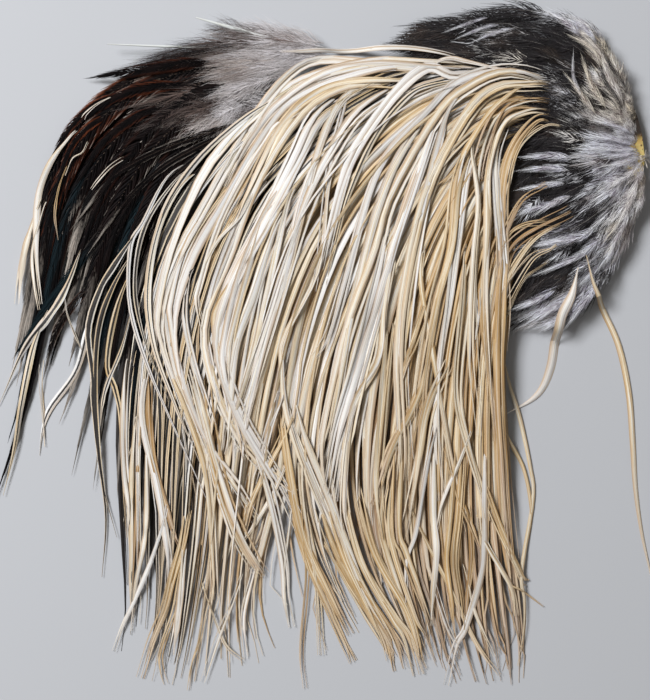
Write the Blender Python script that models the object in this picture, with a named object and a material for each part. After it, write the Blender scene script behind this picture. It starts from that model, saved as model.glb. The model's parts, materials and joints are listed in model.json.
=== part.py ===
"""A rooster cape lying flat: the dried skin with its long saddle hackles combed down to one side.

Metres, +Z up, +X towards the bare tip of the skin, -Y towards the tips of the hackles.
Routes are read in plan, from straight above, on a grid of GRID_STEP squares whose rows run down.
"""

import math
import random

import bmesh
import bpy
import numpy as np

# The plan grid
GRID_STEP = 0.00043
GRID_CENTRE = (325, 350)

# The skin
SKIN_THICKNESS = 0.0010
SKIN_EDGE_BAND = 0.0030
SKIN_OUTLINE_COUNT = 42
SKIN_TIP_CURL = 0.0034
SKIN_CURL_REACH = 0.0146

# What every lock of feathers shares: shares of its own width, height and finger length
LOCK_ROOT_WIDTH = 0.62
LOCK_ROOT_REACH = 0.35
LOCK_EDGE_LIFT = 0.22
LOCK_VALLEY = 0.62
FINGER_ROWS = (0.36, 0.74)
FINGER_TAPER = 1.6
FINGER_POINT_LIFT = 0.4

# Saddle hackles: two layers of locks, with the gap between locks as a share of the fan
LOCKS_OVER = 13
LOCKS_UNDER = 11
LOCK_FINGERS = 3
HACKLE_GAP = 0.010
HACKLE_REACH = (0.90, 1.0)
LAYER_GAP = 0.0006
PARTING_PLACE = 0.42
PARTING_WIDTH = 0.05
PARTING_DEPTH = 0.16
HACKLE_STATIONS = [0.0, 0.045, 0.10, 0.17, 0.25, 0.34, 0.43, 0.52, 0.62, 0.70]

# Side feathers, one to each lock
SIDE_FEATHERS = 9
SIDE_GAP = 0.016
SIDE_REACH = (0.88, 1.0)
SIDE_STATIONS = [0.0, 0.08, 0.17, 0.27, 0.38, 0.49, 0.60, 0.70]

# Rump feathers in rows, counted from the bare tip: shares of the fan's length, then metres
RUMP_ROWS = (3, 4, 5, 5)
RUMP_START = 0.02
RUMP_PITCH = 0.190
RUMP_LENGTH = 0.36
RUMP_GAP = 0.012
RUMP_REACH = (0.86, 1.0)
RUMP_STATIONS = (0.0, 0.2, 0.42, 0.62)
RUMP_CLEARANCE = 0.0005
RUMP_RISE = 0.0056
RUMP_THICKNESS = 0.0025

# Down tufts and quills
DOWN_HALF_WIDTHS = (0.0030, 0.0043, 0.0056)
DOWN_BASES = (0.0040, 0.0058, 0.0058)
DOWN_RISE = 0.0006
DOWN_THICKNESS = 0.0030
DOWN_STATIONS = [0.0, 0.18, 0.38, 0.58]
QUILL_RADIUS = 0.0008
QUILL_SIDES = 8
QUILL_STATIONS = (0.0, 0.35, 0.7, 0.9)
QUILL_TAPER = 2.4

# Loose hackles
LOOSE_SHORT_HALF_WIDTH = 0.0019
LOOSE_LONG_HALF_WIDTH = 0.0013
LOOSE_STATIONS = [0.0, 0.12, 0.25, 0.38, 0.5, 0.62, 0.75]

SHARP_ANGLE = math.radians(38)
SEED = 7

# The skin's outline, from the bare tip round by the far edge to the near one
SKIN_OUTLINE = [
    (645, 158), (639, 122), (623, 86), (596, 54), (550, 34), (480, 32), (400, 42), (320, 44),
    (262, 48), (236, 72), (240, 104), (280, 122), (340, 136), (400, 172), (450, 222), (500, 282),
    (545, 310), (584, 298), (612, 258), (632, 208), (642, 178),
]

# Routes of the saddle hackles, from the outermost to the innermost, each from root to tip
HACKLE_ROUTES = [
    [(470, 62), (395, 60), (328, 70), (262, 106), (206, 165), (164, 240),
     (140, 330), (130, 430), (132, 530), (134, 610), (128, 668)],
    [(540, 76), (470, 74), (396, 94), (326, 142), (270, 208), (232, 292),
     (212, 382), (202, 470), (196, 556), (186, 630), (174, 690)],
    [(549, 88), (492, 88), (428, 112), (368, 166), (318, 234), (284, 314),
     (264, 396), (252, 474), (248, 550), (252, 618), (262, 676)],
    [(552, 104), (508, 108), (458, 138), (412, 194), (374, 262), (346, 338),
     (330, 412), (326, 482), (340, 548), (368, 608), (402, 664)],
    [(552, 132), (516, 138), (476, 172), (442, 230), (417, 298), (402, 372),
     (394, 446), (394, 518), (404, 584), (420, 636), (436, 678)],
    [(548, 172), (521, 180), (494, 212), (473, 266), (460, 334), (452, 406),
     (449, 476), (450, 542), (456, 602), (466, 652), (478, 692)],
    [(538, 236), (522, 258), (509, 298), (503, 348), (501, 402), (503, 458),
     (508, 514), (515, 566), (521, 612), (525, 652), (524, 684)],
]

# Routes of the broad side feathers, from the far edge of the skin inwards
SIDE_ROUTES = [
    [(300, 60), (246, 57), (186, 60), (126, 78), (78, 114),
     (47, 168), (31, 232), (20, 296), (6, 352), (-12, 402)],
    [(282, 76), (238, 76), (190, 90), (144, 120), (104, 166),
     (76, 224), (60, 286), (44, 352), (27, 424), (4, 496)],
    [(262, 92), (229, 98), (194, 120), (161, 154), (132, 200),
     (110, 256), (93, 314), (79, 368), (62, 414), (43, 456)],
    [(246, 108), (222, 118), (198, 143), (174, 182), (154, 232),
     (137, 286), (124, 346), (115, 420), (109, 496), (113, 566)],
]

# Routes of the short rump feathers, fanning from the bare tip of the skin
RUMP_ROUTES = [
    [(630, 148), (614, 94), (592, 44), (530, 14), (400, 22)],
    [(630, 151), (607, 108), (574, 67), (526, 44), (432, 44)],
    [(631, 154), (612, 132), (586, 107), (562, 86), (535, 74)],
    [(631, 158), (614, 152), (590, 142), (571, 126), (556, 108)],
    [(631, 162), (614, 170), (590, 172), (570, 170), (557, 164)],
    [(631, 166), (614, 196), (590, 218), (566, 236), (546, 250)],
    [(631, 170), (620, 216), (594, 256), (562, 286), (522, 306)],
    [(631, 174), (624, 222), (608, 268), (576, 312), (530, 332)],
]

# Routes of the fluffy tufts over the side feathers' roots
DOWN_ROUTES = [
    [(330, 44), (296, 38), (262, 33), (232, 31), (205, 32)],
    [(324, 56), (288, 52), (254, 52), (216, 56), (176, 62)],
    [(290, 73), (256, 83), (222, 95), (188, 112), (146, 136)],
]

QUILL_ROUTES = [[(262, 50), (108, 45)], [(286, 42), (196, 18)]]
QUILL_HEIGHTS = [(0.0024, 0.0060), (0.0022, 0.0036)]

LOOSE_SHORT_ROUTE = [(566, 296), (560, 326), (550, 358), (538, 384), (522, 402), (503, 414)]
LOOSE_LONG_ROUTE = [
    (584, 256), (592, 286), (606, 314), (620, 346), (630, 392),
    (634, 440), (637, 488), (643, 532), (652, 574), (658, 606),
]

# Heights along a lock: shares of its length, each with a height
UNDER_FLOOR = [(0.0, 0.0016), (0.42, 0.0016), (0.60, 0.0), (1.0, 0.0)]
UNDER_TOP = [
    (0.0, 0.0032), (0.08, 0.0056), (0.18, 0.0072), (0.30, 0.0070),
    (0.45, 0.0055), (0.66, 0.0034), (1.0, 0.0016),
]
OVER_TOP = [
    (0.0, 0.0056), (0.08, 0.0104), (0.18, 0.0132), (0.30, 0.0126),
    (0.45, 0.0098), (0.66, 0.0062), (1.0, 0.0034),
]
SIDE_FLOOR = [(0.0, 0.0015), (0.22, 0.0015), (0.40, 0.0), (1.0, 0.0)]
SIDE_TOP = [(0.0, 0.0034), (0.25, 0.0052), (0.6, 0.0034), (1.0, 0.0012)]
LOOSE_SHORT_FLOOR = [(0.0, 0.0015), (0.3, 0.0015), (0.5, 0.0), (1.0, 0.0)]
LOOSE_SHORT_TOP = [(0.0, 0.0025), (0.3, 0.0027), (0.5, 0.0014), (1.0, 0.0008)]
LOOSE_LONG_FLOOR = [(0.0, 0.0092), (0.12, 0.0092), (0.26, 0.0050), (0.42, 0.0), (1.0, 0.0)]
LOOSE_LONG_TOP = [(0.0, 0.0100), (0.12, 0.0102), (0.26, 0.0062), (0.42, 0.0012), (1.0, 0.0008)]


def on_table(spot):
    """The plan position, in metres, of a spot on the grid."""
    return np.array([(spot[0] - GRID_CENTRE[0]) * GRID_STEP, (GRID_CENTRE[1] - spot[1]) * GRID_STEP])


def smooth_point(points, share):
    """The point at a share of the way along a smooth curve through points."""
    points = np.asarray(points, float)
    last = len(points) - 1
    place = min(max(share, 0.0), 1.0) * last
    start = min(int(place), last - 1)
    t = place - start
    before = points[start - 1] if start > 0 else 2 * points[0] - points[1]
    after = points[start + 2] if start + 2 <= last else 2 * points[last] - points[last - 1]
    here, there = points[start], points[start + 1]
    return 0.5 * (
        2 * here
        + (there - before) * t
        + (2 * before - 5 * here + 4 * there - after) * t ** 2
        + (3 * here - before - 3 * there + after) * t ** 3
    )


def fan_of(routes):
    """A function that gives the plan position at (across, along) over a fan of routes."""
    net = np.array([[on_table(spot) for spot in route] for route in routes])

    def place(across, along):
        rows = np.array([smooth_point(route, along) for route in net])
        return smooth_point(rows, across)

    return place


def ribbon_of(route, half_width):
    """The same for one feather by itself: across runs from 0 to 1 over its full width."""
    spots = np.array([on_table(spot) for spot in route])
    step = 0.02

    def place(across, along):
        here = smooth_point(spots, along)
        ahead = smooth_point(spots, min(along + step, 1.0)) - smooth_point(spots, max(along - step, 0.0))
        side = np.array([-ahead[1], ahead[0]]) / np.linalg.norm(ahead)
        return here + side * (0.5 - across) * 2 * half_width

    return place


def profile(table, extra=0.0):
    """A function that reads the height at a share of the length from a table, with extra added."""
    shares, metres = zip(*table)
    return lambda share: float(np.interp(share, shares, metres)) + extra


def material(name, colour, roughness):
    """A Principled material with the part's colour."""
    made = bpy.data.materials.new(name)
    made.use_nodes = True
    shader = made.node_tree.nodes["Principled BSDF"]
    shader.inputs["Base Color"].default_value = (*colour, 1.0)
    shader.inputs["Roughness"].default_value = roughness
    shader.inputs["Metallic"].default_value = 0.0
    made.diffuse_color = (*colour, 1.0)
    return made


def add_object(name, bm, finish):
    """Closes the bmesh into a named object with its normals out."""
    bmesh.ops.recalc_face_normals(bm, faces=bm.faces)
    mesh = bpy.data.meshes.new(name)
    bm.to_mesh(mesh)
    bm.free()
    mesh.materials.append(finish)
    mesh.shade_smooth()
    mesh.set_sharp_from_angle(angle=SHARP_ANGLE)
    made = bpy.data.objects.new(name, mesh)
    bpy.context.scene.collection.objects.link(made)
    return made


def skirt(bm, ring, following):
    """Quads between two closed rings of the same count."""
    for i, vert in enumerate(ring):
        j = (i + 1) % len(ring)
        bm.faces.new((vert, ring[j], following[j], following[i]))


def lock(name, place, edges, stations, tips, floor, top, finish):
    """One lock of feathers: ridged on top, flat below, parted into one pointed finger for each tip.

    edges are its two sides across the fan, stations the shares along it where its body has a
    section, and floor and top its heights. Past the last station each finger runs on to its tip.
    """
    bm = bmesh.new()
    count = len(tips)
    left, right = edges
    middle = (left + right) / 2

    def vert(across, along, rise, squeeze=1.0):
        x, y = place(middle + (across - 0.5) * (right - left) * squeeze, along)
        low, high = floor(along), top(along)
        return bm.verts.new((x, y, low + (high - low) * rise))

    def body_section(along, squeeze):
        edge_left = vert(0.0, along, LOCK_EDGE_LIFT, squeeze)
        ridges = [vert((k + 0.5) / count, along, 1.0, squeeze) for k in range(count)]
        valleys = [vert(k / count, along, LOCK_VALLEY, squeeze) for k in range(1, count)]
        floors = [vert(k / count, along, 0.0, squeeze) for k in range(1, count)]
        edge_right = vert(1.0, along, LOCK_EDGE_LIFT, squeeze)
        upper = [edge_left]
        for k in range(count):
            upper.append(ridges[k])
            if k < count - 1:
                upper.append(valleys[k])
        ring = upper + [edge_right] + floors[::-1]
        tops = [edge_left] + valleys + [edge_right]
        lows = [edge_left] + floors + [edge_right]
        return ring, ridges, tops, lows

    first, last = stations[0], stations[-1]
    sections = []
    for along in stations:
        grown = min(1.0, (along - first) / (LOCK_ROOT_REACH * (last - first)))
        sections.append(body_section(along, LOCK_ROOT_WIDTH + (1 - LOCK_ROOT_WIDTH) * grown))
    for here, following in zip(sections, sections[1:]):
        skirt(bm, here[0], following[0])
    bm.faces.new(sections[0][0])

    _, ridges, tops, lows = sections[-1]
    for k, reach in enumerate(tips):
        centre = (k + 0.5) / count
        rows = []
        for share in FINGER_ROWS:
            half = 0.5 / count * (1 - share ** FINGER_TAPER)
            along = last + (reach - last) * share
            rows.append([
                vert(centre - half, along, LOCK_EDGE_LIFT),
                vert(centre, along, 1.0),
                vert(centre + half, along, LOCK_EDGE_LIFT),
            ])
        side_left, ridge, side_right = rows[0]
        bm.faces.new((tops[k], ridges[k], ridge, side_left))
        bm.faces.new((ridges[k], tops[k + 1], side_right, ridge))
        bm.faces.new((lows[k], side_left, side_right, lows[k + 1]))
        if k > 0:
            bm.faces.new((tops[k], side_left, lows[k]))
        if k < count - 1:
            bm.faces.new((tops[k + 1], lows[k + 1], side_right))
        skirt(bm, rows[0], rows[1])
        point = vert(centre, reach, FINGER_POINT_LIFT)
        for i in range(3):
            bm.faces.new((rows[1][i], rows[1][(i + 1) % 3], point))
    return add_object(name, bm, finish)


def dried_skin(finish):
    """A thin flat sheet with a narrow rim, which curls up at the bare tip."""
    closed = SKIN_OUTLINE + SKIN_OUTLINE[:1]
    outline = [on_table(smooth_point(closed, i / SKIN_OUTLINE_COUNT)) for i in range(SKIN_OUTLINE_COUNT)]
    tip = on_table(SKIN_OUTLINE[0])
    bm = bmesh.new()
    sheet = bm.faces.new([bm.verts.new((x, y, 0.0)) for x, y in outline])
    bmesh.ops.recalc_face_normals(bm, faces=[sheet])
    rim = [vert.co.xy.copy() for vert in sheet.verts]
    bmesh.ops.inset_region(
        bm, faces=[sheet], thickness=SKIN_EDGE_BAND, use_boundary=True, use_even_offset=True
    )
    bmesh.ops.solidify(bm, geom=list(bm.faces), thickness=-SKIN_THICKNESS)
    lowest = min(vert.co.z for vert in bm.verts)
    for vert in bm.verts:
        vert.co.z -= lowest
        on_rim = min((vert.co.xy - spot).length for spot in rim) < SKIN_EDGE_BAND / 10
        from_tip = math.dist(vert.co.xy, tip)
        if on_rim and from_tip < SKIN_CURL_REACH:
            vert.co.z += SKIN_TIP_CURL * (1 - (from_tip / SKIN_CURL_REACH) ** 2)
    return add_object("skin", bm, finish)


def saddle_hackles(finish, chance):
    """Two layers of long locks, side by side in each, with ragged tips and a parting."""
    place = fan_of(HACKLE_ROUTES)
    layers = (
        ("under", LOCKS_UNDER, profile(UNDER_FLOOR), profile(UNDER_TOP)),
        ("over", LOCKS_OVER, profile(UNDER_TOP, LAYER_GAP), profile(OVER_TOP)),
    )
    for kind, count, floor, top in layers:
        for i in range(count):
            edges = (i / count + HACKLE_GAP / 2, (i + 1) / count - HACKLE_GAP / 2)
            tips = []
            for k in range(LOCK_FINGERS):
                across = edges[0] + (edges[1] - edges[0]) * (k + 0.5) / LOCK_FINGERS
                notch = PARTING_DEPTH * math.exp(-(((across - PARTING_PLACE) / PARTING_WIDTH) ** 2))
                tips.append(chance.uniform(*HACKLE_REACH) - notch)
            name = f"saddle_hackles_{kind}_{i + 1:02d}"
            lock(name, place, edges, HACKLE_STATIONS, tips, floor, top, finish)


def side_feathers(finish, chance):
    """Broad dark feathers from the skin's narrow end, each with a ridge for its shaft."""
    place = fan_of(SIDE_ROUTES)
    floor, top = profile(SIDE_FLOOR), profile(SIDE_TOP)
    for i in range(SIDE_FEATHERS):
        edges = (i / SIDE_FEATHERS + SIDE_GAP / 2, (i + 1) / SIDE_FEATHERS - SIDE_GAP / 2)
        tips = [chance.uniform(*SIDE_REACH)]
        lock(f"side_feather_{i + 1:02d}", place, edges, SIDE_STATIONS, tips, floor, top, finish)


def rump_feathers(finish, chance):
    """Short feathers in rows like shingles: each row's tips lie over the next row's roots."""
    place = fan_of(RUMP_ROUTES)
    base = SKIN_THICKNESS + RUMP_CLEARANCE
    for row, count in enumerate(RUMP_ROWS):
        start = RUMP_START + row * RUMP_PITCH
        floor = profile([(start, base), (start + RUMP_LENGTH, base + RUMP_RISE)])
        top = profile([
            (start, base + 0.7 * RUMP_THICKNESS),
            (start + RUMP_LENGTH / 2, base + RUMP_RISE / 2 + RUMP_THICKNESS),
            (start + RUMP_LENGTH, base + RUMP_RISE + 0.7 * RUMP_THICKNESS),
        ])
        stations = [start + RUMP_LENGTH * share for share in RUMP_STATIONS]
        for i in range(count):
            edges = (i / count + RUMP_GAP, (i + 1) / count - RUMP_GAP)
            tips = [min(1.0, start + RUMP_LENGTH * chance.uniform(*RUMP_REACH)) for _ in range(LOCK_FINGERS)]
            lock(f"rump_feather_{row + 1}_{i + 1}", place, edges, stations, tips, floor, top, finish)


def down_tufts(finish, chance):
    """Fluffy tufts that cover the roots of the side feathers."""
    for i, (route, half_width, base) in enumerate(zip(DOWN_ROUTES, DOWN_HALF_WIDTHS, DOWN_BASES)):
        floor = profile([(0.0, base), (1.0, base + DOWN_RISE)])
        top = profile([(0.0, base + DOWN_THICKNESS), (1.0, base + DOWN_RISE + 0.4 * DOWN_THICKNESS)])
        tips = [chance.uniform(*RUMP_REACH) for _ in range(LOCK_FINGERS)]
        place = ribbon_of(route, half_width)
        lock(f"down_tuft_{i + 1}", place, (0.0, 1.0), DOWN_STATIONS, tips, floor, top, finish)


def pin_quills(finish):
    """Bare white quills, round and pointed."""
    for i, (route, (root_height, tip_height)) in enumerate(zip(QUILL_ROUTES, QUILL_HEIGHTS)):
        bm = bmesh.new()
        start, end = on_table(route[0]), on_table(route[1])
        ahead = (end - start) / np.linalg.norm(end - start)
        side = np.array([-ahead[1], ahead[0]])
        rings = []
        for share in QUILL_STATIONS:
            radius = QUILL_RADIUS * (1 - share ** QUILL_TAPER)
            middle = start + (end - start) * share
            height = root_height + (tip_height - root_height) * share
            ring = []
            for k in range(QUILL_SIDES):
                angle = math.tau * k / QUILL_SIDES
                x, y = middle + side * radius * math.cos(angle)
                ring.append(bm.verts.new((x, y, height + radius * math.sin(angle))))
            rings.append(ring)
        for here, following in zip(rings, rings[1:]):
            skirt(bm, here, following)
        bm.faces.new(rings[0])
        point = bm.verts.new((*end, tip_height))
        for k in range(QUILL_SIDES):
            bm.faces.new((rings[-1][k], rings[-1][(k + 1) % QUILL_SIDES], point))
        add_object(f"pin_quill_{i + 1}", bm, finish)


def loose_hackles(finish):
    """Two long thin hackles that stand apart from the rest at the near edge of the skin."""
    lock(
        "loose_hackle_1", ribbon_of(LOOSE_SHORT_ROUTE, LOOSE_SHORT_HALF_WIDTH), (0.0, 1.0),
        LOOSE_STATIONS, [1.0], profile(LOOSE_SHORT_FLOOR), profile(LOOSE_SHORT_TOP), finish,
    )
    lock(
        "loose_hackle_2", ribbon_of(LOOSE_LONG_ROUTE, LOOSE_LONG_HALF_WIDTH), (0.0, 1.0),
        LOOSE_STATIONS, [1.0], profile(LOOSE_LONG_FLOOR), profile(LOOSE_LONG_TOP), finish,
    )


def stand_on_origin():
    """Puts the middle of the whole thing over the origin, with its lowest point at height 0."""
    pieces = list(bpy.context.scene.objects)
    corners = np.array([vert.co[:] for piece in pieces for vert in piece.data.vertices])
    low, high = corners.min(axis=0), corners.max(axis=0)
    for piece in pieces:
        piece.location = (-(low[0] + high[0]) / 2, -(low[1] + high[1]) / 2, -low[2])


def main():
    for old in list(bpy.data.objects):
        bpy.data.objects.remove(old)
    chance = random.Random(SEED)
    cream = material("cream_hackle", (0.82, 0.68, 0.44), 0.45)
    dried_skin(material("dried_skin", (0.62, 0.42, 0.17), 0.55))
    saddle_hackles(cream, chance)
    side_feathers(material("dark_side_feather", (0.05, 0.04, 0.04), 0.4), chance)
    rump_feathers(material("barred_rump_feather", (0.38, 0.35, 0.34), 0.7), chance)
    down_tufts(material("white_down", (0.72, 0.68, 0.66), 0.85), chance)
    pin_quills(material("white_quill", (0.86, 0.88, 0.88), 0.35))
    loose_hackles(cream)
    stand_on_origin()


main()
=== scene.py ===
# %% [markdown]
# # A rooster cape
# The real thing is the dried skin of a rooster's back with its feathers still on it. Long cream saddle
# hackles are combed down to one side, broad dark feathers lie at the left, and soft barred feathers
# fan out from the bare tip of the skin at the right.
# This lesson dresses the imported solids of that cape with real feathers, one kind at a time.

import json
import math

import bpy
import numpy as np
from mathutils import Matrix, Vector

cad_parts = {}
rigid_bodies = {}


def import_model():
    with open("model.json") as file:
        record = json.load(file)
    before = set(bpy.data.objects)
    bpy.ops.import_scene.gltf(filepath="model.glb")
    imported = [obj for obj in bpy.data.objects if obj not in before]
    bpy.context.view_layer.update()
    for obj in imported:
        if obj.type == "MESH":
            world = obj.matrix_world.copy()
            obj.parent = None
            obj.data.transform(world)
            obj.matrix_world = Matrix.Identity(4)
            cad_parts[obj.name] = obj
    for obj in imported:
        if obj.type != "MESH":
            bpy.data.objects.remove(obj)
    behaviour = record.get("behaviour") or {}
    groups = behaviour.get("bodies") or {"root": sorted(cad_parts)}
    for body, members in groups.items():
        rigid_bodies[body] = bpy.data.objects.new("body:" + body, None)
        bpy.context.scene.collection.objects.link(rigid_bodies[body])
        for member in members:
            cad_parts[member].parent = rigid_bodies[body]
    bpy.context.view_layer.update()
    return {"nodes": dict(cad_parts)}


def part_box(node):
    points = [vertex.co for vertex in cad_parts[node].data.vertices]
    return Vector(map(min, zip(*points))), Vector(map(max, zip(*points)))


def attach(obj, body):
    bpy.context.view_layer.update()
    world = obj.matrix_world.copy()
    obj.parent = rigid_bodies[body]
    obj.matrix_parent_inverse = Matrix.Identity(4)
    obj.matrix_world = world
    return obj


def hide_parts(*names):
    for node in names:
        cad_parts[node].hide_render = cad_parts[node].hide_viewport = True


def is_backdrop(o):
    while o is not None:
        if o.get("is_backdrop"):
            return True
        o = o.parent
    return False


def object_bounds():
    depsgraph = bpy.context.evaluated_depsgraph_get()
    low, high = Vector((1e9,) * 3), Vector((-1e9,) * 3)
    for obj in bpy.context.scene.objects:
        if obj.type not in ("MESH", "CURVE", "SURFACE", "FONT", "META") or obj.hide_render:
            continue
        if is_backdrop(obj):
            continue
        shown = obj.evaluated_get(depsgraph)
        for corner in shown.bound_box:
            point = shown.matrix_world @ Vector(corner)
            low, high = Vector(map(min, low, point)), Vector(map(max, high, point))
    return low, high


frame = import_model()

# %% [markdown]
# ## Where things lie
# The solids were laid out on a plan grid, seen from straight above, with rows that run down. The same
# grid is used here, so that a feather lands on the solid it stands for. The whole part was then
# centred on the origin, and the box of the skin tells how far everything moved.

# %% The plan grid
GRID_STEP = 0.00043
GRID_CENTRE = (325, 350)
SKIN_OUTLINE_COUNT = 42
SKIN_OUTLINE = [
    (645, 158), (639, 122), (623, 86), (596, 54), (550, 34), (480, 32), (400, 42), (320, 44),
    (262, 48), (236, 72), (240, 104), (280, 122), (340, 136), (400, 172), (450, 222), (500, 282),
    (545, 310), (584, 298), (612, 258), (632, 208), (642, 178),
]


def extended(points):
    """Points with one more at each end, mirrored, so that a smooth curve reaches the first and last."""
    return np.concatenate([2 * points[:1] - points[1:2], points, 2 * points[-1:] - points[-2:-1]])


def curve_weights(share, count):
    """For a share of the way through count points: the first of the four that shape it, and their weights."""
    place = np.asarray(share, float) * (count - 1)
    start = np.clip(np.floor(place), 0, count - 2).astype(int)
    t = place - start
    weights = [-t + 2 * t**2 - t**3, 2 - 5 * t**2 + 3 * t**3, t + 4 * t**2 - 3 * t**3, t**3 - t**2]
    return start, [0.5 * weight[..., None] for weight in weights]


def curve_at(points, share):
    """Places at shares of the way along a smooth curve through points."""
    points = np.asarray(points, float)
    start, weights = curve_weights(share, len(points))
    row = extended(points)
    return sum(weight * row[start + k] for k, weight in enumerate(weights))


skin_rim = curve_at(SKIN_OUTLINE + SKIN_OUTLINE[:1], np.arange(SKIN_OUTLINE_COUNT) / SKIN_OUTLINE_COUNT)
rim_low = np.array([(skin_rim[:, 0].min() - GRID_CENTRE[0]), (GRID_CENTRE[1] - skin_rim[:, 1].max())])
TABLE_SHIFT = np.array(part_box("skin")[0].xy) - rim_low * GRID_STEP


def on_table(spots):
    """Grid spots as places on the table, in metres."""
    spots = np.asarray(spots, float)
    right, down = spots[..., 0] - GRID_CENTRE[0], spots[..., 1] - GRID_CENTRE[1]
    return np.stack([right, -down], -1) * GRID_STEP + TABLE_SHIFT


def off_table(spots):
    """Places on the table as grid spots."""
    right_and_up = (spots - TABLE_SHIFT) / GRID_STEP
    return right_and_up * (1, -1) + GRID_CENTRE


print("the part was moved by", np.round(1000 * TABLE_SHIFT, 2), "mm")

# %% [markdown]
# ## Fans of feathers
# Feathers of one kind lie side by side like the ribs of a fan. A few drawn routes hold the whole
# fan, and a smooth sheet through them says where any feather between them runs. A fan needs far
# fewer points than a route for each of several hundred feathers, and neighbours stay in line.

# %% Routes of the fans
HACKLE_ROUTES = [
    [(470, 62), (395, 60), (328, 70), (262, 106), (206, 165), (164, 240),
     (140, 330), (130, 430), (132, 530), (134, 610), (128, 668)],
    [(540, 76), (470, 74), (396, 94), (326, 142), (270, 208), (232, 292),
     (212, 382), (202, 470), (196, 556), (186, 630), (174, 690)],
    [(549, 88), (492, 88), (428, 112), (368, 166), (318, 234), (284, 314),
     (264, 396), (252, 474), (248, 550), (252, 618), (262, 676)],
    [(552, 104), (508, 108), (458, 138), (412, 194), (374, 262), (346, 338),
     (330, 412), (326, 482), (340, 548), (368, 608), (402, 664)],
    [(552, 132), (516, 138), (476, 172), (442, 230), (417, 298), (402, 372),
     (394, 446), (394, 518), (404, 584), (420, 636), (436, 678)],
    [(548, 172), (521, 180), (494, 212), (473, 266), (460, 334), (452, 406),
     (449, 476), (450, 542), (456, 602), (466, 652), (478, 692)],
    [(538, 236), (522, 258), (509, 298), (503, 348), (501, 402), (503, 458),
     (508, 514), (515, 566), (521, 612), (525, 652), (524, 684)],
]
SIDE_ROUTES = [
    [(300, 60), (246, 57), (186, 60), (126, 78), (78, 114),
     (47, 168), (31, 232), (20, 296), (6, 352), (-12, 402)],
    [(282, 76), (238, 76), (190, 90), (144, 120), (104, 166),
     (76, 224), (60, 286), (44, 352), (27, 424), (4, 496)],
    [(262, 92), (229, 98), (194, 120), (161, 154), (132, 200),
     (110, 256), (93, 314), (79, 368), (62, 414), (43, 456)],
    [(246, 108), (222, 118), (198, 143), (174, 182), (154, 232),
     (137, 286), (124, 346), (115, 420), (109, 496), (113, 566)],
]
RUMP_ROUTES = [
    [(634, 112), (617, 74), (596, 34), (530, 12), (400, 20)],
    [(637, 124), (613, 92), (578, 62), (526, 42), (432, 42)],
    [(639, 134), (617, 116), (588, 98), (560, 82), (532, 72)],
    [(640, 144), (620, 136), (594, 130), (568, 119), (542, 106)],
    [(642, 154), (619, 157), (590, 162), (562, 166), (532, 166)],
    [(645, 163), (622, 186), (592, 210), (562, 234), (534, 252)],
    [(645, 173), (629, 210), (600, 250), (564, 284), (520, 306)],
    [(643, 184), (632, 220), (610, 264), (578, 308), (532, 330)],
]
DOWN_ROUTES = [
    [(330, 44), (296, 38), (262, 33), (232, 30), (205, 32)],
    [(326, 52), (284, 46), (238, 44), (190, 50), (138, 64)],
    [(318, 62), (276, 62), (230, 64), (178, 72), (110, 82)],
    [(290, 73), (256, 83), (222, 95), (188, 108), (150, 124)],
    [(284, 92), (258, 104), (236, 114), (216, 124), (196, 138)],
]


def fan_at(routes, across, along):
    """Places on the table for shares across a fan and along it."""
    net = extended(np.swapaxes(extended(np.swapaxes(on_table(routes), 0, 1)), 0, 1))
    row, row_weights = curve_weights(across, len(routes))
    column, column_weights = curve_weights(along, len(routes[0]))
    return sum(
        over * down * net[row + i, column + j]
        for i, over in enumerate(row_weights)
        for j, down in enumerate(column_weights)
    )


def eased(value, low, high):
    """0 up to low, 1 from high on, and a smooth step between them."""
    t = np.clip((np.asarray(value, float) - low) / (high - low), 0, 1)
    return t * t * (3 - 2 * t)


def height_at(table, share):
    """The height in metres at a share of the length, read from a table of both."""
    shares, metres = zip(*table)
    return np.interp(share, shares, metres)


def spread_evenly(chance, count):
    """Count shares from 0 to 1, one at a random place in each equal slice."""
    return (np.arange(count) + chance.uniform(0, 1, count)) / count


def drawer(chance, count):
    """A function that draws count random numbers between two limits, as a column."""
    return lambda low, high: chance.uniform(low, high, count)[:, None]


def waves(draw, share, low, high):
    """A wave along each feather, of low to high turns, with a random start."""
    return np.sin(math.tau * (draw(low, high) * share + draw(0, 1)))


print("fans of", [len(routes) for routes in (HACKLE_ROUTES, SIDE_ROUTES, RUMP_ROUTES, DOWN_ROUTES)], "routes")

# %% [markdown]
# ## Camera
# The cape lies on a table and is seen from straight above, with its long tips towards the bottom of the
# picture. An 85 mm lens keeps the edges from leaning, and the height follows from how much of the
# table the picture's long side takes in.

# %% Camera
PICTURE_ROWS = 700
LENS = 85.0
SENSOR = 36.0
CAMERA_FOCUS_HEIGHT = 0.004
CAMERA_CLIPS = (0.01, 20.0)

camera_data = bpy.data.cameras.new("camera")
camera_data.lens, camera_data.sensor_width = LENS, SENSOR
camera_data.clip_start, camera_data.clip_end = CAMERA_CLIPS
camera = bpy.data.objects.new("camera", camera_data)
bpy.context.scene.collection.objects.link(camera)
camera_reach = PICTURE_ROWS * GRID_STEP * LENS / SENSOR
camera.location = (*on_table(GRID_CENTRE), CAMERA_FOCUS_HEIGHT + camera_reach)
bpy.context.scene.camera = camera
print("camera height", round(camera.location.z, 3), "m")

# %% [markdown]
# ## Light and floor
# Feathers show by the fine shade between them, so one large soft light comes in low from the upper left,
# and a weak even light from all round keeps the gaps from going black. The floor is a plain pale sheet.

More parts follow.
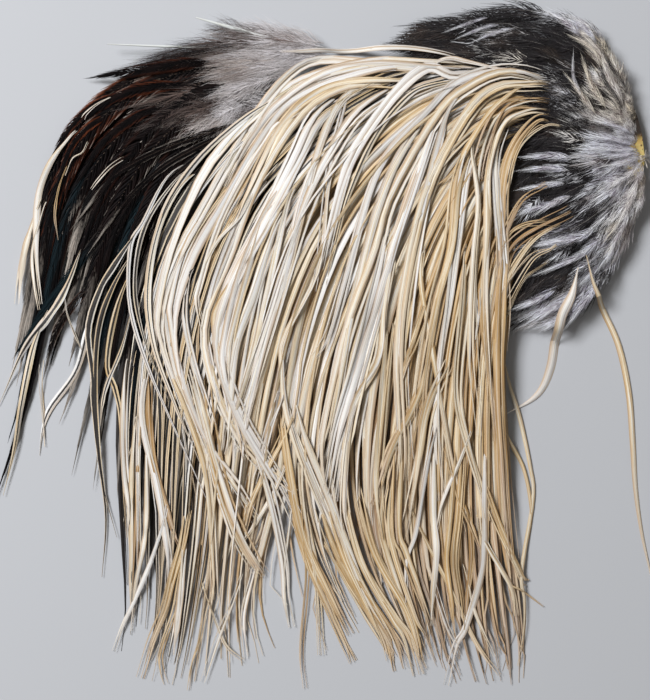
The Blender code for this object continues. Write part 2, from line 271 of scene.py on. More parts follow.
# %% Light and floor
KEY_PLACE = (-1.18, 0.78, 1.40)
KEY_SIZE = 0.70
KEY_WATTS = 46.0
SKY_COLOUR = (1.0, 0.94, 0.86)
SKY_STRENGTH = 0.16
FLOOR_COLOUR = (0.56, 0.58, 0.62)
FLOOR_CLOUD_COLOUR = (0.5, 0.5, 0.5)
FLOOR_CLOUD_SHARE = 0.06
FLOOR_SIZE = 8.0

scene = bpy.context.scene
scene.view_settings.view_transform = "Standard"
scene.view_settings.look = "None"
world = bpy.data.worlds.new("soft_sky")
scene.world = world
world.use_nodes = True
world.node_tree.nodes["Background"].inputs["Color"].default_value = (*SKY_COLOUR, 1.0)
world.node_tree.nodes["Background"].inputs["Strength"].default_value = SKY_STRENGTH


def soft_light(name, place, size, watts):
    """A square area light that points at the origin."""
    data = bpy.data.lights.new(name, "AREA")
    data.size, data.energy = size, watts
    light = bpy.data.objects.new(name, data)
    bpy.context.scene.collection.objects.link(light)
    light.location = place
    light.rotation_euler = light.location.to_track_quat("Z", "Y").to_euler()


soft_light("key_light", KEY_PLACE, KEY_SIZE, KEY_WATTS)
bpy.ops.object.select_all(action="DESELECT")
bpy.ops.mesh.primitive_plane_add(size=FLOOR_SIZE, location=(0, 0, 0))
floor = bpy.context.object
floor.name = "floor"
floor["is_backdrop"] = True

# %% [markdown]
# ## A short hand for materials
# A feather's colour is worked out from where a point lies on the feather: how far along, and how far
# across. Written as sums, such as 1 - along * 0.3, that is easy to read, so a small class wraps a
# socket and lets Python's own signs add the Math nodes. Every other node comes from one method.

# %% Sockets that add up
class Wire:
    """A socket in a material. Sums with it add Math nodes."""

    def __init__(self, finish, socket):
        self.finish, self.socket = finish, socket

    def _math(self, operation, first, second=0.0):
        return self.finish.add("ShaderNodeMath", {"operation": operation}, {0: first, 1: second})

    def __add__(self, other):
        return self._math("ADD", self, other)

    def __radd__(self, other):
        return self._math("ADD", other, self)

    def __sub__(self, other):
        return self._math("SUBTRACT", self, other)

    def __rsub__(self, other):
        return self._math("SUBTRACT", other, self)

    def __mul__(self, other):
        return self._math("MULTIPLY", self, other)

    def __rmul__(self, other):
        return self._math("MULTIPLY", other, self)

    def __abs__(self):
        return self._math("ABSOLUTE", self)


class Finish:
    """A material with one Principled shader, whose fixed values are set on it directly."""

    def __init__(self, name, **fixed):
        self.material = bpy.data.materials.new(name)
        self.material.use_nodes = True
        self.tree = self.material.node_tree
        self.shader = self.tree.nodes["Principled BSDF"]
        for socket, value in fixed.items():
            self.shader.inputs[socket.replace("_", " ")].default_value = value

    def plug(self, socket, value):
        if isinstance(value, Wire):
            self.tree.links.new(value.socket, socket)
        else:
            socket.default_value = value

    def add(self, kind, settings, inputs, output=0):
        """A node of a kind: its settings first, then its sockets' values or links."""
        node = self.tree.nodes.new(kind)
        stops = settings.pop("stops", None)
        for setting, value in settings.items():
            setattr(node, setting, value)
        if stops:
            ramp = node.color_ramp.elements
            while len(ramp) < len(stops):
                ramp.new(1.0)
            for element, (place, colour) in zip(ramp, stops):
                element.position, element.color = place, (*colour, 1.0)
        for socket, value in inputs.items():
            self.plug(node.inputs[socket], value)
        return Wire(self, node.outputs[output])

    def attribute(self, name):
        """A number that the mesh carries."""
        return self.add("ShaderNodeAttribute", {"attribute_name": name}, {}, "Fac")

    def point(self, x, y, z):
        return self.add("ShaderNodeCombineXYZ", {}, {0: x, 1: y, 2: z})

    def noise(self, vector, scale, detail=2.0):
        return self.add("ShaderNodeTexNoise", {}, {"Vector": vector, "Scale": scale, "Detail": detail})

    def step(self, value, low, high):
        """0 up to low, 1 from high on, and a smooth step between them."""
        return self.add(
            "ShaderNodeMapRange", {"interpolation_type": "SMOOTHSTEP"}, {0: value, 1: low, 2: high}
        )

    def mix(self, factor, first, second):
        """Second colour over the first."""
        first, second = ((*c, 1.0) if isinstance(c, tuple) else c for c in (first, second))
        return self.add("ShaderNodeMix", {"data_type": "RGBA"}, {0: factor, 6: first, 7: second}, 2)

    def ramp(self, value, stops):
        return self.add("ShaderNodeValToRGB", {"stops": stops}, {0: value})

    def bump(self, height, distance, strength):
        normal = self.add(
            "ShaderNodeBump", {}, {"Height": height, "Distance": distance, "Strength": strength}
        )
        self.plug(self.shader.inputs["Normal"], normal)

    def done(self):
        """The material, once its nodes are in place."""
        print(f"{self.material.name}: {len(self.tree.nodes)} nodes")
        return self.material


floor_finish = Finish("pale_floor", Roughness=0.9)
floor_cloud = floor_finish.noise(floor_finish.add("ShaderNodeTexCoord", {}, {}, "Object"), 3.0)
floor_finish.plug(
    floor_finish.shader.inputs["Base Color"],
    floor_finish.mix(floor_cloud * FLOOR_CLOUD_SHARE, FLOOR_COLOUR, FLOOR_CLOUD_COLOUR),
)
floor.data.materials.append(floor_finish.done())

# %% [markdown]
# ## Hackle finish
# A saddle hackle is one narrow blade with a shaft down its middle. The shaft is pale, and its bright line is
# also a painted highlight along the ridge. One half of the blade is darkened to tan as painted shade, both
# edges are darkened to tan as painted shade between neighbouring blades, and the barbs leave fine slanted
# streaks. Its colour runs from ivory through cream to gold and fades towards the tip, and some blades at
# the left have a black middle with cream edges.

# %% Hackle finish
def hackle_finish():
    f = Finish("cream_hackle", Roughness=0.42, Specular_IOR_Level=0.45, Sheen_Weight=0.05)
    across, along, run = f.attribute("across"), f.attribute("along"), f.attribute("run")
    tint, gold, dark = f.attribute("tint"), f.attribute("gold"), f.attribute("dark")
    slant = f.point(run - abs(across) * 2.2, tint * 90.0, across * 0.4)
    barbs = f.noise(slant, 3.2, 3.0)
    long_streaks = f.noise(f.point(run * 0.03, across * 2.4, tint * 70.0), 1.6, 4.0)
    furrows = f.noise(f.point(run * 0.015, across * 6.0, tint * 50.0), 1.5, 2.0)
    # long_streaks: the blade's own cream and gold streaks, strong enough to also paint thin highlight and
    # shade lines along it
    warmth = gold + (long_streaks - 0.5) * 1.15 + (barbs - 0.5) * 0.16
    colour = f.ramp(warmth, [
        (0.0, (0.90, 0.91, 0.93)), (0.11, (0.91, 0.86, 0.74)), (0.26, (0.86, 0.71, 0.47)),
        (0.45, (0.64, 0.42, 0.18)), (0.70, (0.34, 0.17, 0.055)), (1.0, (0.07, 0.035, 0.015)),
    ])
    faded = f.step(along, 0.40, 0.95)
    # painted shade: one half of each blade, on a side picked per blade, is darkened to tan
    painted_shade_half = f.step(across, 0.0, 0.7) * (0.22 + tint * 0.50) * (1 - faded * 0.35)
    colour = f.mix(painted_shade_half, colour, (0.52, 0.33, 0.15))
    # furrows: thin tan lines along the blade, partly its own striations and partly painted shade in the
    # grooves
    colour = f.mix((1 - f.step(furrows, 0.36, 0.50)) * 0.42, colour, (0.42, 0.25, 0.10))
    plain = 1 - f.step(dark, 0.0, 0.2)
    # painted shade: both edges of a blade are darkened to tan, standing in for the shade between neighbouring
    # blades
    edge = f.step(abs(across), 0.58, 0.92)
    colour = f.mix(edge * plain * (0.35 + tint * 0.35) * (1 - faded * 0.2), colour, (0.40, 0.24, 0.10))
    colour = f.mix(faded * tint * 0.45, colour, (0.92, 0.82, 0.75))
    # the bright line down the middle is the pale shaft and also a painted highlight along its ridge
    shaft = 1 - f.step(abs(across), 0.05, 0.30)
    colour = f.mix(shaft * 0.40, colour, (0.97, 0.93, 0.82))
    black_middle = 1 - f.step(abs(across) + (barbs - 0.5) * 0.35 - dark * 0.62, -0.10, 0.10)
    black_middle = black_middle * f.step(dark, 0.0, 0.2)
    colour = f.mix(black_middle, colour, (0.018, 0.014, 0.013))
    f.plug(f.shader.inputs["Base Color"], colour)
    f.plug(f.shader.inputs["Roughness"], 0.36 + barbs * 0.18)
    f.bump(barbs * 0.5 + long_streaks * 0.6 + furrows * 0.8, 0.00025, 0.7)
    return f.done()


hackle_material = hackle_finish()

# %% [markdown]
# ## Many blades in one mesh
# Several hundred hackles would be slow to model one by one, and a simulation of hair is lost in the export.
# Each one is a closed tube of a few flat sides, and arrays hold all their corners at once: first the
# feather, then the station along it, then the corner round it. One function joins them into a mesh.

# %% Tubes into a mesh
CLEARANCE = 0.00006
SHARP_ANGLE = math.radians(34)


def tube_faces(first, shape):
    """Corner numbers of the sides and the two end caps of many tubes, whose corners start at first."""
    tubes, stations, corners = shape
    index = first + np.arange(tubes * stations * corners).reshape(shape)
    here, ahead = index[:, :-1], index[:, 1:]
    sides = np.stack([here, np.roll(here, -1, 2), np.roll(ahead, -1, 2), ahead], -1)
    return sides.reshape(-1, 4), np.concatenate([index[:, 0, ::-1], index[:, -1]])


def join_tubes(name, groups, material):
    """One object of many tubes. Each group is (rings, values): rings has the corners, and values the
    numbers that the material reads, which spread over (tubes, stations, corners)."""
    corners, sides_and_caps, first = [], [], 0
    for rings, _ in groups:
        flat = rings.reshape(-1, 3).copy()
        flat[:, 2] = np.maximum(flat[:, 2], CLEARANCE)
        corners.append(flat)
        sides_and_caps += list(tube_faces(first, rings.shape[:3]))
        first += len(flat)
    mesh = bpy.data.meshes.new(name)
    mesh.vertices.add(first)
    mesh.vertices.foreach_set("co", np.concatenate(corners).astype(np.float32).ravel())
    sizes = np.concatenate([np.full(len(faces), faces.shape[1]) for faces in sides_and_caps])
    mesh.loops.add(int(sizes.sum()))
    loops = np.concatenate([faces.ravel() for faces in sides_and_caps])
    mesh.loops.foreach_set("vertex_index", loops.astype(np.int32))
    mesh.polygons.add(len(sizes))
    mesh.polygons.foreach_set("loop_start", (np.cumsum(sizes) - sizes).astype(np.int32))
    mesh.update(calc_edges=True)
    for value in groups[0][1]:
        spread = [np.broadcast_to(values[value], rings.shape[:3]).ravel() for rings, values in groups]
        attribute = mesh.attributes.new(value, "FLOAT", "POINT")
        attribute.data.foreach_set("value", np.concatenate(spread).astype(np.float32))
    mesh.set_sharp_from_angle(angle=SHARP_ANGLE)
    mesh.materials.append(material)
    made = bpy.data.objects.new(name, mesh)
    bpy.context.scene.collection.objects.link(made)
    triangles = int((sizes - 2).sum())
    print(f"{name}: {sum(len(rings) for rings, _ in groups)} tubes, {triangles} triangles")
    return made


BLADE_ACROSS = np.array([-1.0, -0.5, 0.0, 0.5, 1.0, 0.0])
BLADE_RISE = np.array([0.0, 0.58, 1.0, 0.58, 0.0, 1.0])
BLADE_THICKNESS = 0.00016
BLADE_THINNEST = 0.00008


def unit(steps):
    """Steps made one metre long."""
    return steps / (np.linalg.norm(steps, axis=-1, keepdims=True) + 1e-12)


def rightward(paths):
    """Unit directions to the right of paths, on the table."""
    ahead = unit(np.gradient(paths[..., :2], axis=-2))
    return np.stack([ahead[..., 1], -ahead[..., 0]], -1)


def blades(paths, half_width, fold, roll):
    """Rings of thin blades folded along their shafts. fold is the shaft's rise as a share of the half
    width, and roll the turn of the blade about its shaft."""
    right = rightward(paths)
    out = half_width[..., None] * BLADE_ACROSS
    rise = (half_width * fold)[..., None] * BLADE_RISE
    rise[..., -1] -= np.minimum(BLADE_THICKNESS, 0.6 * half_width)
    sideways = out * np.cos(roll)[..., None] - rise * np.sin(roll)[..., None]
    upward = out * np.sin(roll)[..., None] + rise * np.cos(roll)[..., None]
    rings = np.repeat(paths[..., None, :], len(BLADE_ACROSS), axis=-2)
    rings[..., :2] += right[..., None, :] * sideways[..., None]
    rings[..., 2] += upward
    return rings


def lengths(paths):
    """How far each station is from the start of its path, in metres."""
    steps = np.linalg.norm(np.diff(paths, axis=-2), axis=-1)
    return np.concatenate([np.zeros_like(steps[..., :1]), np.cumsum(steps, -1)], -1)


print("a blade has", len(BLADE_ACROSS), "corners at each station")

# %% [markdown]
# ## Saddle hackles
# On the bird they overlap like thatch, so four layers are laid: low ones, a middle layer, the bright top,
# and fine strands among them. The low layers are coloured browner with more black middles, partly their
# own darker webs and partly painted shade for the gaps between hackles. A hackle starts at the root line,
# drifts a little sideways, gathers with its neighbours into wisps towards the tip, and turns about its
# own shaft on the way.

# %% Lay the saddle hackles
HACKLE_STATIONS = 28
UNDER_FLOOR = [(0.0, 0.0016), (0.42, 0.0016), (0.60, 0.0), (1.0, 0.0)]
OVER_TOP = [
    (0.0, 0.0036), (0.08, 0.0096), (0.18, 0.0126), (0.30, 0.0122),
    (0.45, 0.0096), (0.66, 0.0060), (1.0, 0.0028),
]
PARTING_PLACE = 0.42
PARTING_WIDTH = 0.03
PARTING_DEPTH = 0.06
PARTING_STATION = 19
PARTING_OPENS = (0.66, 0.90)
PARTING_PUSH = (0.080, 0.020)
PARTING_FADE = (0.10, 0.05)
WISPS = 34
WISP_PULL = 0.45
DARK_SIDE = (0.02, 0.30)
NEAR_ROOTS = (0.48, 0.72)
NEAR_LATE = 0.05
NEAR_SINK = 0.66
NEAR_SURFACES = (0.12, 0.26)
# the low layers draw higher gold and dark values: partly their own darker webs, partly painted shade in the
# gaps between hackles
HACKLE_LAYERS = {
    "saddle_hackles_low": dict(
        count=180, start=(0.0, 0.20), reach=(0.74, 0.97), level=(0.03, 0.34), half=(0.0008, 0.0014),
        gold=(0.50, 1.10), dark=2.0, drift=0.034),
    "saddle_hackles_middle": dict(
        count=130, start=(-0.05, 0.04), reach=(0.80, 1.0), level=(0.38, 0.64), half=(0.0008, 0.0015),
        gold=(0.10, 0.80), dark=1.8, drift=0.036),
    "saddle_hackles_top": dict(
        count=66, start=(-0.06, 0.03), reach=(0.76, 0.99), level=(0.66, 0.84), half=(0.0010, 0.0017),
        gold=(-0.12, 0.34), dark=1.0, drift=0.034),
    "saddle_hackles_fine": dict(
        count=72, start=(0.0, 0.30), reach=(0.78, 1.0), level=(0.60, 1.0), half=(0.0004, 0.0008),
        gold=(-0.12, 0.45), dark=0.3, drift=0.045),
}


def hackle_gold(across, along):
    """How much warmer hackles are at a place in the fan: at the roots, the near side and the tips."""
    near_side = 0.30 * eased(across, 0.40, 0.90)
    roots = 0.26 * (1 - eased(along, 0.02, 0.20)) * eased(across, 0.10, 0.4)
    tips = (0.08 + 0.20 * eased(across, 0.30, 0.70)) * eased(along, 0.55, 0.95)
    return near_side + roots + tips


def lay_hackles(chance, count, start, reach, level, half, gold, dark, drift):
    """Rings and values of a layer of hackles."""
    share = np.linspace(0, 1, HACKLE_STATIONS)[None, :]
    draw = drawer(chance, count)
    root = spread_evenly(chance, count)[:, None]
    begin, end = draw(*start), draw(*reach)
    begin = begin + NEAR_LATE * eased(root, *NEAR_ROOTS)
    at_parting = np.exp(-(((root - PARTING_PLACE) / PARTING_WIDTH) ** 2))
    end = end - PARTING_DEPTH * at_parting * draw(0.5, 1.1)
    along = begin + (end - begin) * share
    stray = np.where(draw(0, 1) < 0.10, 3.0, 1.0)
    across = root + chance.normal(0, drift, count)[:, None] * stray * share**1.4
    across += 0.007 * waves(draw, share, 0.5, 1.6)
    wisp = (np.floor(across * WISPS) + 0.5) / WISPS
    across += (wisp - across) * WISP_PULL * eased(share, 0.45, 1.0)
    away = np.abs(across - PARTING_PLACE)
    far_side = across[:, [PARTING_STATION]] < PARTING_PLACE
    push = np.where(far_side, -PARTING_PUSH[0] * np.exp(-away / PARTING_FADE[0]),
                    PARTING_PUSH[1] * np.exp(-away / PARTING_FADE[1]))
    across += push * eased(along, *PARTING_OPENS)
    across = np.clip(across, -0.03, 1.0)
    low, high = height_at(UNDER_FLOOR, along), height_at(OVER_TOP, along)
    high = high - NEAR_SINK * high * eased(root, *NEAR_ROOTS) * (1 - eased(along, *NEAR_SURFACES))
    at_edge = np.abs(2 * across - 1) ** 6
    settle = (1 - 0.35 * at_edge) * (1 - 0.6 * eased(share, 0.75, 1.0))
    height = low + (high - low) * draw(*level) * settle
    height += 0.0003 * waves(draw, share, 1, 3)
    paths = np.concatenate([fan_at(HACKLE_ROUTES, across, along), height[..., None]], -1)
    width = draw(*half) * (0.14 + 0.86 * eased(share, 0.0, 0.24))
    width = width * (1 - eased(share, 0.55, 1.04) ** 1.3)
    width = width * (1 + 0.10 * waves(draw, share, 2, 5)) + BLADE_THINNEST
    fold = draw(0.08, 0.32) * np.where(draw(0, 1) < 0.2, -0.6, 1.0)
    roll = chance.normal(0, 0.16, count)[:, None]
    roll = roll + draw(0.10, 0.36) * waves(draw, share, 0.4, 1.3)
    side = np.where(draw(0, 1) < 0.75, 1.0, -1.0)
    tint = draw(0, 1)
    warmth = draw(*gold) * (1 - 0.5 * eased(along, 0.6, 0.95)) + hackle_gold(across, along)
    values = {
        "across": side[..., None] * BLADE_ACROSS,
        "along": share[..., None],
        "run": 1000 * lengths(paths)[..., None],
        "tint": tint[..., None],
        "gold": warmth[..., None],
        "dark": (dark * (1 - eased(root, *DARK_SIDE)))[..., None],
    }
    return blades(paths, width, fold, roll), values


chance = np.random.default_rng(21)
saddle_pieces = {
    name: join_tubes(name, [lay_hackles(chance, **layer)], hackle_material)
    for name, layer in HACKLE_LAYERS.items()
}

# %% [markdown]
# ## Feathers with barbs
# The other feathers are wide enough that their barbs show. A barb leaves the shaft at a slant and bends
# towards the tip, so each is a thin three-sided tube whose place is given on its feather: so far along
# the shaft, so far out from it. The same function makes a tight vane or a loose fluffy one.

# %% Barbs and shafts
BARB_STATIONS = np.array([0.0, 0.48, 1.0])
BARB_CORNERS = np.array([[-1.0, 0.0], [0.0, 0.7], [1.0, 0.0]])
QUILL_SHARE = 0.03
SHAFT_LIFT = 0.00005


def walk(paths, feather, share):
    """Places at a share of the way along the paths of feathers, and the directions to their right."""
    place = np.clip(share, 0, 1) * (paths.shape[1] - 1)
    start = np.minimum(place.astype(int), paths.shape[1] - 2)
    t = (place - start)[..., None]
    right = rightward(paths)
    spot = paths[feather, start] * (1 - t) + paths[feather, start + 1] * t
    return spot, right[feather, start] * (1 - t) + right[feather, start + 1] * t


def tight_outline(share):
    """The relative width of a tight vane at a share along it."""
    return eased(share, -0.15, 0.30) * (1 - share**2.2) ** 0.8


def loose_outline(share):
    """The same for a loose vane, which stays wide for longer."""
    return eased(share, -0.2, 0.35) * (1 - share**3) ** 0.7


def plumes(chance, paths, half_width, barbs, sweep, outline, cover, fray, fluff, fold, wave=0.0):
    """Rings and values of the barbs of many feathers, both sides of each shaft, and whose each barb is.

    half_width is each feather's own, sweep how far a barb runs on along the shaft, as a share of the
    feather, and outline the vane's relative width at a share along it. cover is a barb's width against
    its pitch, fray its uneven length, fluff how far its tip stands up, fold how far the vane falls off
    to its sides, and wave how much a barb bends.
    """
    feathers = len(paths)
    feather, barb, side = np.meshgrid(np.arange(feathers), np.arange(barbs), (-1.0, 1.0), indexing="ij")
    feather, barb, side = feather.ravel(), barb.ravel(), side.ravel()
    count = len(feather)
    draw = drawer(chance, count)
    root = QUILL_SHARE + (1 - QUILL_SHARE - 0.35 * sweep) * (barb[:, None] + draw(0, 1)) / barbs
    q = BARB_STATIONS[None, :]
    along = root + sweep * draw(0.75, 1.2) * q**1.25
    half = half_width[feather][:, None]
    out = half * outline(np.clip(root + 0.5 * sweep, 0, 1)) * (1 + draw(-fray, fray))
    out = out * (1 - (1 - q) ** 1.5) * side[:, None]
    out += wave * half * waves(draw, q, 0.4, 1.2) * q
    over = np.maximum(along - 1, 0)
    spot, right = walk(paths, feather[:, None], along)
    last = unit(paths[feather, -1, :2] - paths[feather, -2, :2])
    size = lengths(paths)[:, -1][feather][:, None]
    points = spot.copy()
    points[..., :2] += right * out[..., None] + last[:, None, :] * (over * size)[..., None]
    points[..., 2] += fluff * q**1.5 * draw(-0.4, 1.0) - fold * np.abs(out)
    beside = rightward(points)
    pitch = size * (1 - QUILL_SHARE) / barbs
    slant = half / np.hypot(half, sweep * size)
    thick = 0.5 * cover * pitch * slant * (1 - 0.9 * q**1.6)
    rings = np.repeat(points[:, :, None, :], 3, axis=2)
    rings[..., :2] += beside[:, :, None, :] * (thick[..., None] * BARB_CORNERS[:, 0])[..., None]
    rings[..., 2] += thick[..., None] * BARB_CORNERS[:, 1]
    values = {
        "across": (out / half)[..., None],
        "along": np.clip(along, 0, 1)[..., None],
        "barb": q[..., None] * np.ones((count, 1, 1)),
        "lot": draw(0, 1)[..., None],
    }
    return rings, values, feather


def shafts(paths, half_width):
    """Rings of the shafts of many feathers: round at the root, thin at the tip."""
    right = rightward(paths)
    thick = half_width[:, None] * np.linspace(1.0, 0.15, paths.shape[1])[None, :]
    rings = np.repeat(paths[:, :, None, :], 3, axis=2)
    rings[..., :2] += right[:, :, None, :] * (thick[..., None] * BARB_CORNERS[:, 0])[..., None]
    rings[..., 2] += thick[..., None] * BARB_CORNERS[:, 1] + SHAFT_LIFT
    return rings


def feather_piece(name, vanes, shaft_rings, per_feather, material):
    """Joins the barbs of plumes with shafts, and gives both the numbers of each whole feather."""
    barb_rings, values, feather = vanes
    for value, numbers in per_feather.items():
        values[value] = np.asarray(numbers)[feather][:, None, None]
    along = np.linspace(0, 1, shaft_rings.shape[1])[None, :, None]
    shaft_values = {value: np.asarray(numbers)[:, None, None] for value, numbers in per_feather.items()}
    shaft_values |= {"across": np.zeros((1, 1, 1)), "along": along, "barb": np.full((1, 1, 1), -1.0),
                     "lot": np.full((1, 1, 1), 0.5)}
    return join_tubes(name, [(barb_rings, values), (shaft_rings, shaft_values)], material)


def fan_paths(routes, across, begin, end, stations, height):
    """Paths of feathers in a fan: one share across for each, and shares along from begin to end."""
    share = np.linspace(0, 1, stations)[None, :]
    along = begin[:, None] + (end - begin)[:, None] * share
    flat = fan_at(routes, across[:, None] + 0 * share if across.ndim == 1 else across, along)
    return np.concatenate([flat, height(along, share)[..., None]], -1)


print("a barb has", len(BARB_STATIONS), "stations")

# %% [markdown]
# ## Side feathers
# At the left lie broad feathers of near black, with a green sheen painted into their colour in patches.
# Their outer edges are cream or red brown, and the cream spreads at the tips. The vane is tight, so the
# barbs overlap, and the pattern reads how far out on the vane a point is.

# %% Side feather finish
def side_finish():
    f = Finish("dark_side_feather", Roughness=0.4, Specular_IOR_Level=0.07)
    across, along, lot = f.attribute("across"), f.attribute("along"), f.attribute("lot")
    tint, pale, red = f.attribute("tint"), f.attribute("pale"), f.attribute("red")
    barb = f.attribute("barb")
    cloud = f.noise(f.point(along * 5.0, across * 1.5, tint * 60.0), 1.4, 3.0)
    fine = f.noise(f.point(along * 60.0, lot * 40.0, tint * 20.0), 1.0, 2.0)
    colour = f.mix(f.step(cloud, 0.40, 0.68), (0.004, 0.0035, 0.004), (0.011, 0.007, 0.007))
    # painted sheen: a green sheen painted into the colour of high-tint feathers, from about a third of the
    # way along
    painted_green_sheen = f.step(tint + (cloud - 0.5) * 0.6, 0.74, 0.95) * f.step(along, 0.3, 0.6)
    colour = f.mix(painted_green_sheen, colour, (0.008, 0.017, 0.022))
    edge_line = abs(across) + (fine - 0.5) * 0.25 + (cloud - 0.5) * 0.3
    edge = f.step(edge_line, 0.66, 0.86)
    colour = f.mix(f.step(edge_line, 0.40, 0.80) * red, colour, (0.20, 0.055, 0.024))
    cream = f.mix(fine, (0.62, 0.59, 0.55), (0.36, 0.29, 0.24))
    colour = f.mix(edge * pale, colour, cream)
    tip = f.step(along + (cloud - 0.5) * 0.35 + (fine - 0.5) * 0.2, 0.80, 0.98)
    colour = f.mix(tip * f.step(pale, 0.25, 0.8) * 0.8, colour, cream)
    shaft = f.step(barb, -0.5, -0.9)
    colour = f.mix(shaft * pale * 0.35, colour, (0.30, 0.22, 0.17))
    f.plug(f.shader.inputs["Base Color"], colour)
    f.plug(f.shader.inputs["Roughness"], 0.36 + fine * 0.25)
    f.bump(fine, 0.0002, 0.5)
    return f.done()


side_material = side_finish()

# %% [markdown]
# ## Laying the side feathers
# On the bird each row shields the roots of the next. Here they share one fan: most are broad and end
# early, and about a third are narrower and reach on past them, which makes the edge ragged like the real
# one. Laid by a rule they stay in line, and only the ones that stand out need drawing later.

# %% Lay the side feathers
SIDE_COUNT = 66
SIDE_STATIONS = 30
SIDE_FROM, SIDE_SPAN = 0.02, 1.16
SIDE_STRAY = 0.05
SIDE_LEVELS = (0.15, 1.0)
SIDE_BEGINS = (0.0, 0.16)
SIDE_LONG_SHARE = 0.30
SIDE_LONG_ENDS = (0.76, 0.98)
SIDE_LONG_WIDTH = 0.62
SIDE_ENDS = (0.62, 0.86)
SIDE_SHORTER = 0.17
SIDE_FLOOR = 0.0006
SIDE_TOP = [(0.0, 0.0030), (0.25, 0.0056), (0.6, 0.0042), (1.0, 0.0016)]
SIDE_HALF = (0.0030, 0.0052)
SIDE_SHAFT = 0.07
SIDE_PALE_SHARE = 0.62
SIDE_VANE = dict(
    barbs=52, sweep=0.10, outline=tight_outline, cover=1.7, fray=0.10, fluff=0.0004, fold=0.22,
)

chance = np.random.default_rng(31)
side_across = SIDE_FROM + SIDE_SPAN * spread_evenly(chance, SIDE_COUNT)
side_begin = chance.uniform(*SIDE_BEGINS, SIDE_COUNT)
side_long = chance.uniform(0, 1, SIDE_COUNT) < SIDE_LONG_SHARE
side_end = np.where(
    side_long, chance.uniform(*SIDE_LONG_ENDS, SIDE_COUNT), chance.uniform(*SIDE_ENDS, SIDE_COUNT)
)
side_end = side_end - SIDE_SHORTER * side_across * ~side_long
side_level = chance.uniform(*SIDE_LEVELS, SIDE_COUNT)[:, None]
share = np.linspace(0, 1, SIDE_STATIONS)[None, :]
side_drift = side_across[:, None] + chance.normal(0, SIDE_STRAY, SIDE_COUNT)[:, None] * share**1.5
side_drift = np.clip(side_drift, 0.01, 1.2)
side_paths = fan_paths(
    SIDE_ROUTES, side_drift, side_begin, side_end, SIDE_STATIONS,
    lambda along, share: SIDE_FLOOR + height_at(SIDE_TOP, along) * side_level * (1 - 0.5 * share**3),
)
side_half = chance.uniform(*SIDE_HALF, SIDE_COUNT) * np.where(side_long, SIDE_LONG_WIDTH, 1.0)
side_piece = feather_piece(
    "side_feathers", plumes(chance, side_paths, side_half, **SIDE_VANE),
    shafts(side_paths, side_half * SIDE_SHAFT),
    {
        "tint": chance.uniform(0, 1, SIDE_COUNT),
        "pale": np.where(
            chance.uniform(0, 1, SIDE_COUNT) < SIDE_PALE_SHARE, chance.uniform(0.5, 1.0, SIDE_COUNT), 0.0
        ),
        "red": np.clip(1.3 - 5.0 * side_across, 0.1, 1) * chance.uniform(0.3, 1.0, SIDE_COUNT),
    },
    side_material,
)

# %% [markdown]
# ## Rump feathers
# The fan at the right is made of short soft feathers. They are smoke grey and violet at the root, banded
# with black in the middle and tipped with cream. One finish does for all of them: it reads how far along
# a point lies, and two more numbers, dark and cream, that each feather gets from the patch it lies in.

# %% Rump feather finish
def rump_finish():
    f = Finish("barred_rump_feather", Roughness=0.62, Specular_IOR_Level=0.2, Sheen_Weight=0.05)
    across, along, lot = f.attribute("across"), f.attribute("along"), f.attribute("lot")
    tint, dark, barb = f.attribute("tint"), f.attribute("dark"), f.attribute("barb")
    cream = f.attribute("cream")
    place = along + (f.noise(f.point(tint * 80.0, across * 1.2, along * 2.0), 1.5, 2.0) - 0.5) * 0.35
    streak = f.noise(f.point(lot * 60.0, along * 3.0, tint * 30.0), 1.2, 2.0)
    colour = f.ramp(place, [
        (0.0, (0.60, 0.59, 0.68)), (0.30, (0.78, 0.79, 0.94)), (0.50, (0.48, 0.45, 0.55)),
        (0.70, (0.52, 0.49, 0.58)), (0.84, (0.88, 0.90, 1.0)), (1.0, (0.94, 0.96, 1.0)),
    ])
    # painted shade and painted highlight: barbs picked by the streak noise are darkened to near black or
    # lightened to blue-white
    colour = f.mix((1 - f.step(streak, 0.34, 0.48)) * 0.75, colour, (0.075, 0.055, 0.062))
    colour = f.mix(f.step(streak, 0.46, 0.60) * 0.9, colour, (0.93, 0.95, 1.0))
    creamy = f.mix(f.step(streak, 0.38, 0.60), (0.24, 0.155, 0.09), (0.93, 0.83, 0.62))
    colour = f.mix(cream * 0.9, colour, creamy)
    black = f.step(dark + (0.5 - abs(place - 0.5)) * 0.6 - 0.42 * f.step(streak, 0.42, 0.66), 0.20, 0.50)
    colour = f.mix(black * 0.97, colour, (0.012, 0.009, 0.010))
    brown = f.step(tint, 0.74, 0.92) * 0.4 * (1 - black * 0.7)
    colour = f.mix(brown, colour, (0.26, 0.18, 0.13))
    shaft = f.step(barb, -0.5, -0.9)
    colour = f.mix(shaft * 0.5, colour, (0.80, 0.76, 0.70))
    f.plug(f.shader.inputs["Base Color"], colour)
    f.bump(streak, 0.0002, 0.4)
    return f.done()


rump_material = rump_finish()

# %% [markdown]
# ## Laying the rump feathers
# They overlap like shingles from the bare tip outwards, in four rows of about eighty. Loose barbs, each
# with a bend of its own, make them look like fur. The dark and cream patches are round spots on the plan
# grid, so a feather takes its colour from where its tip lies.

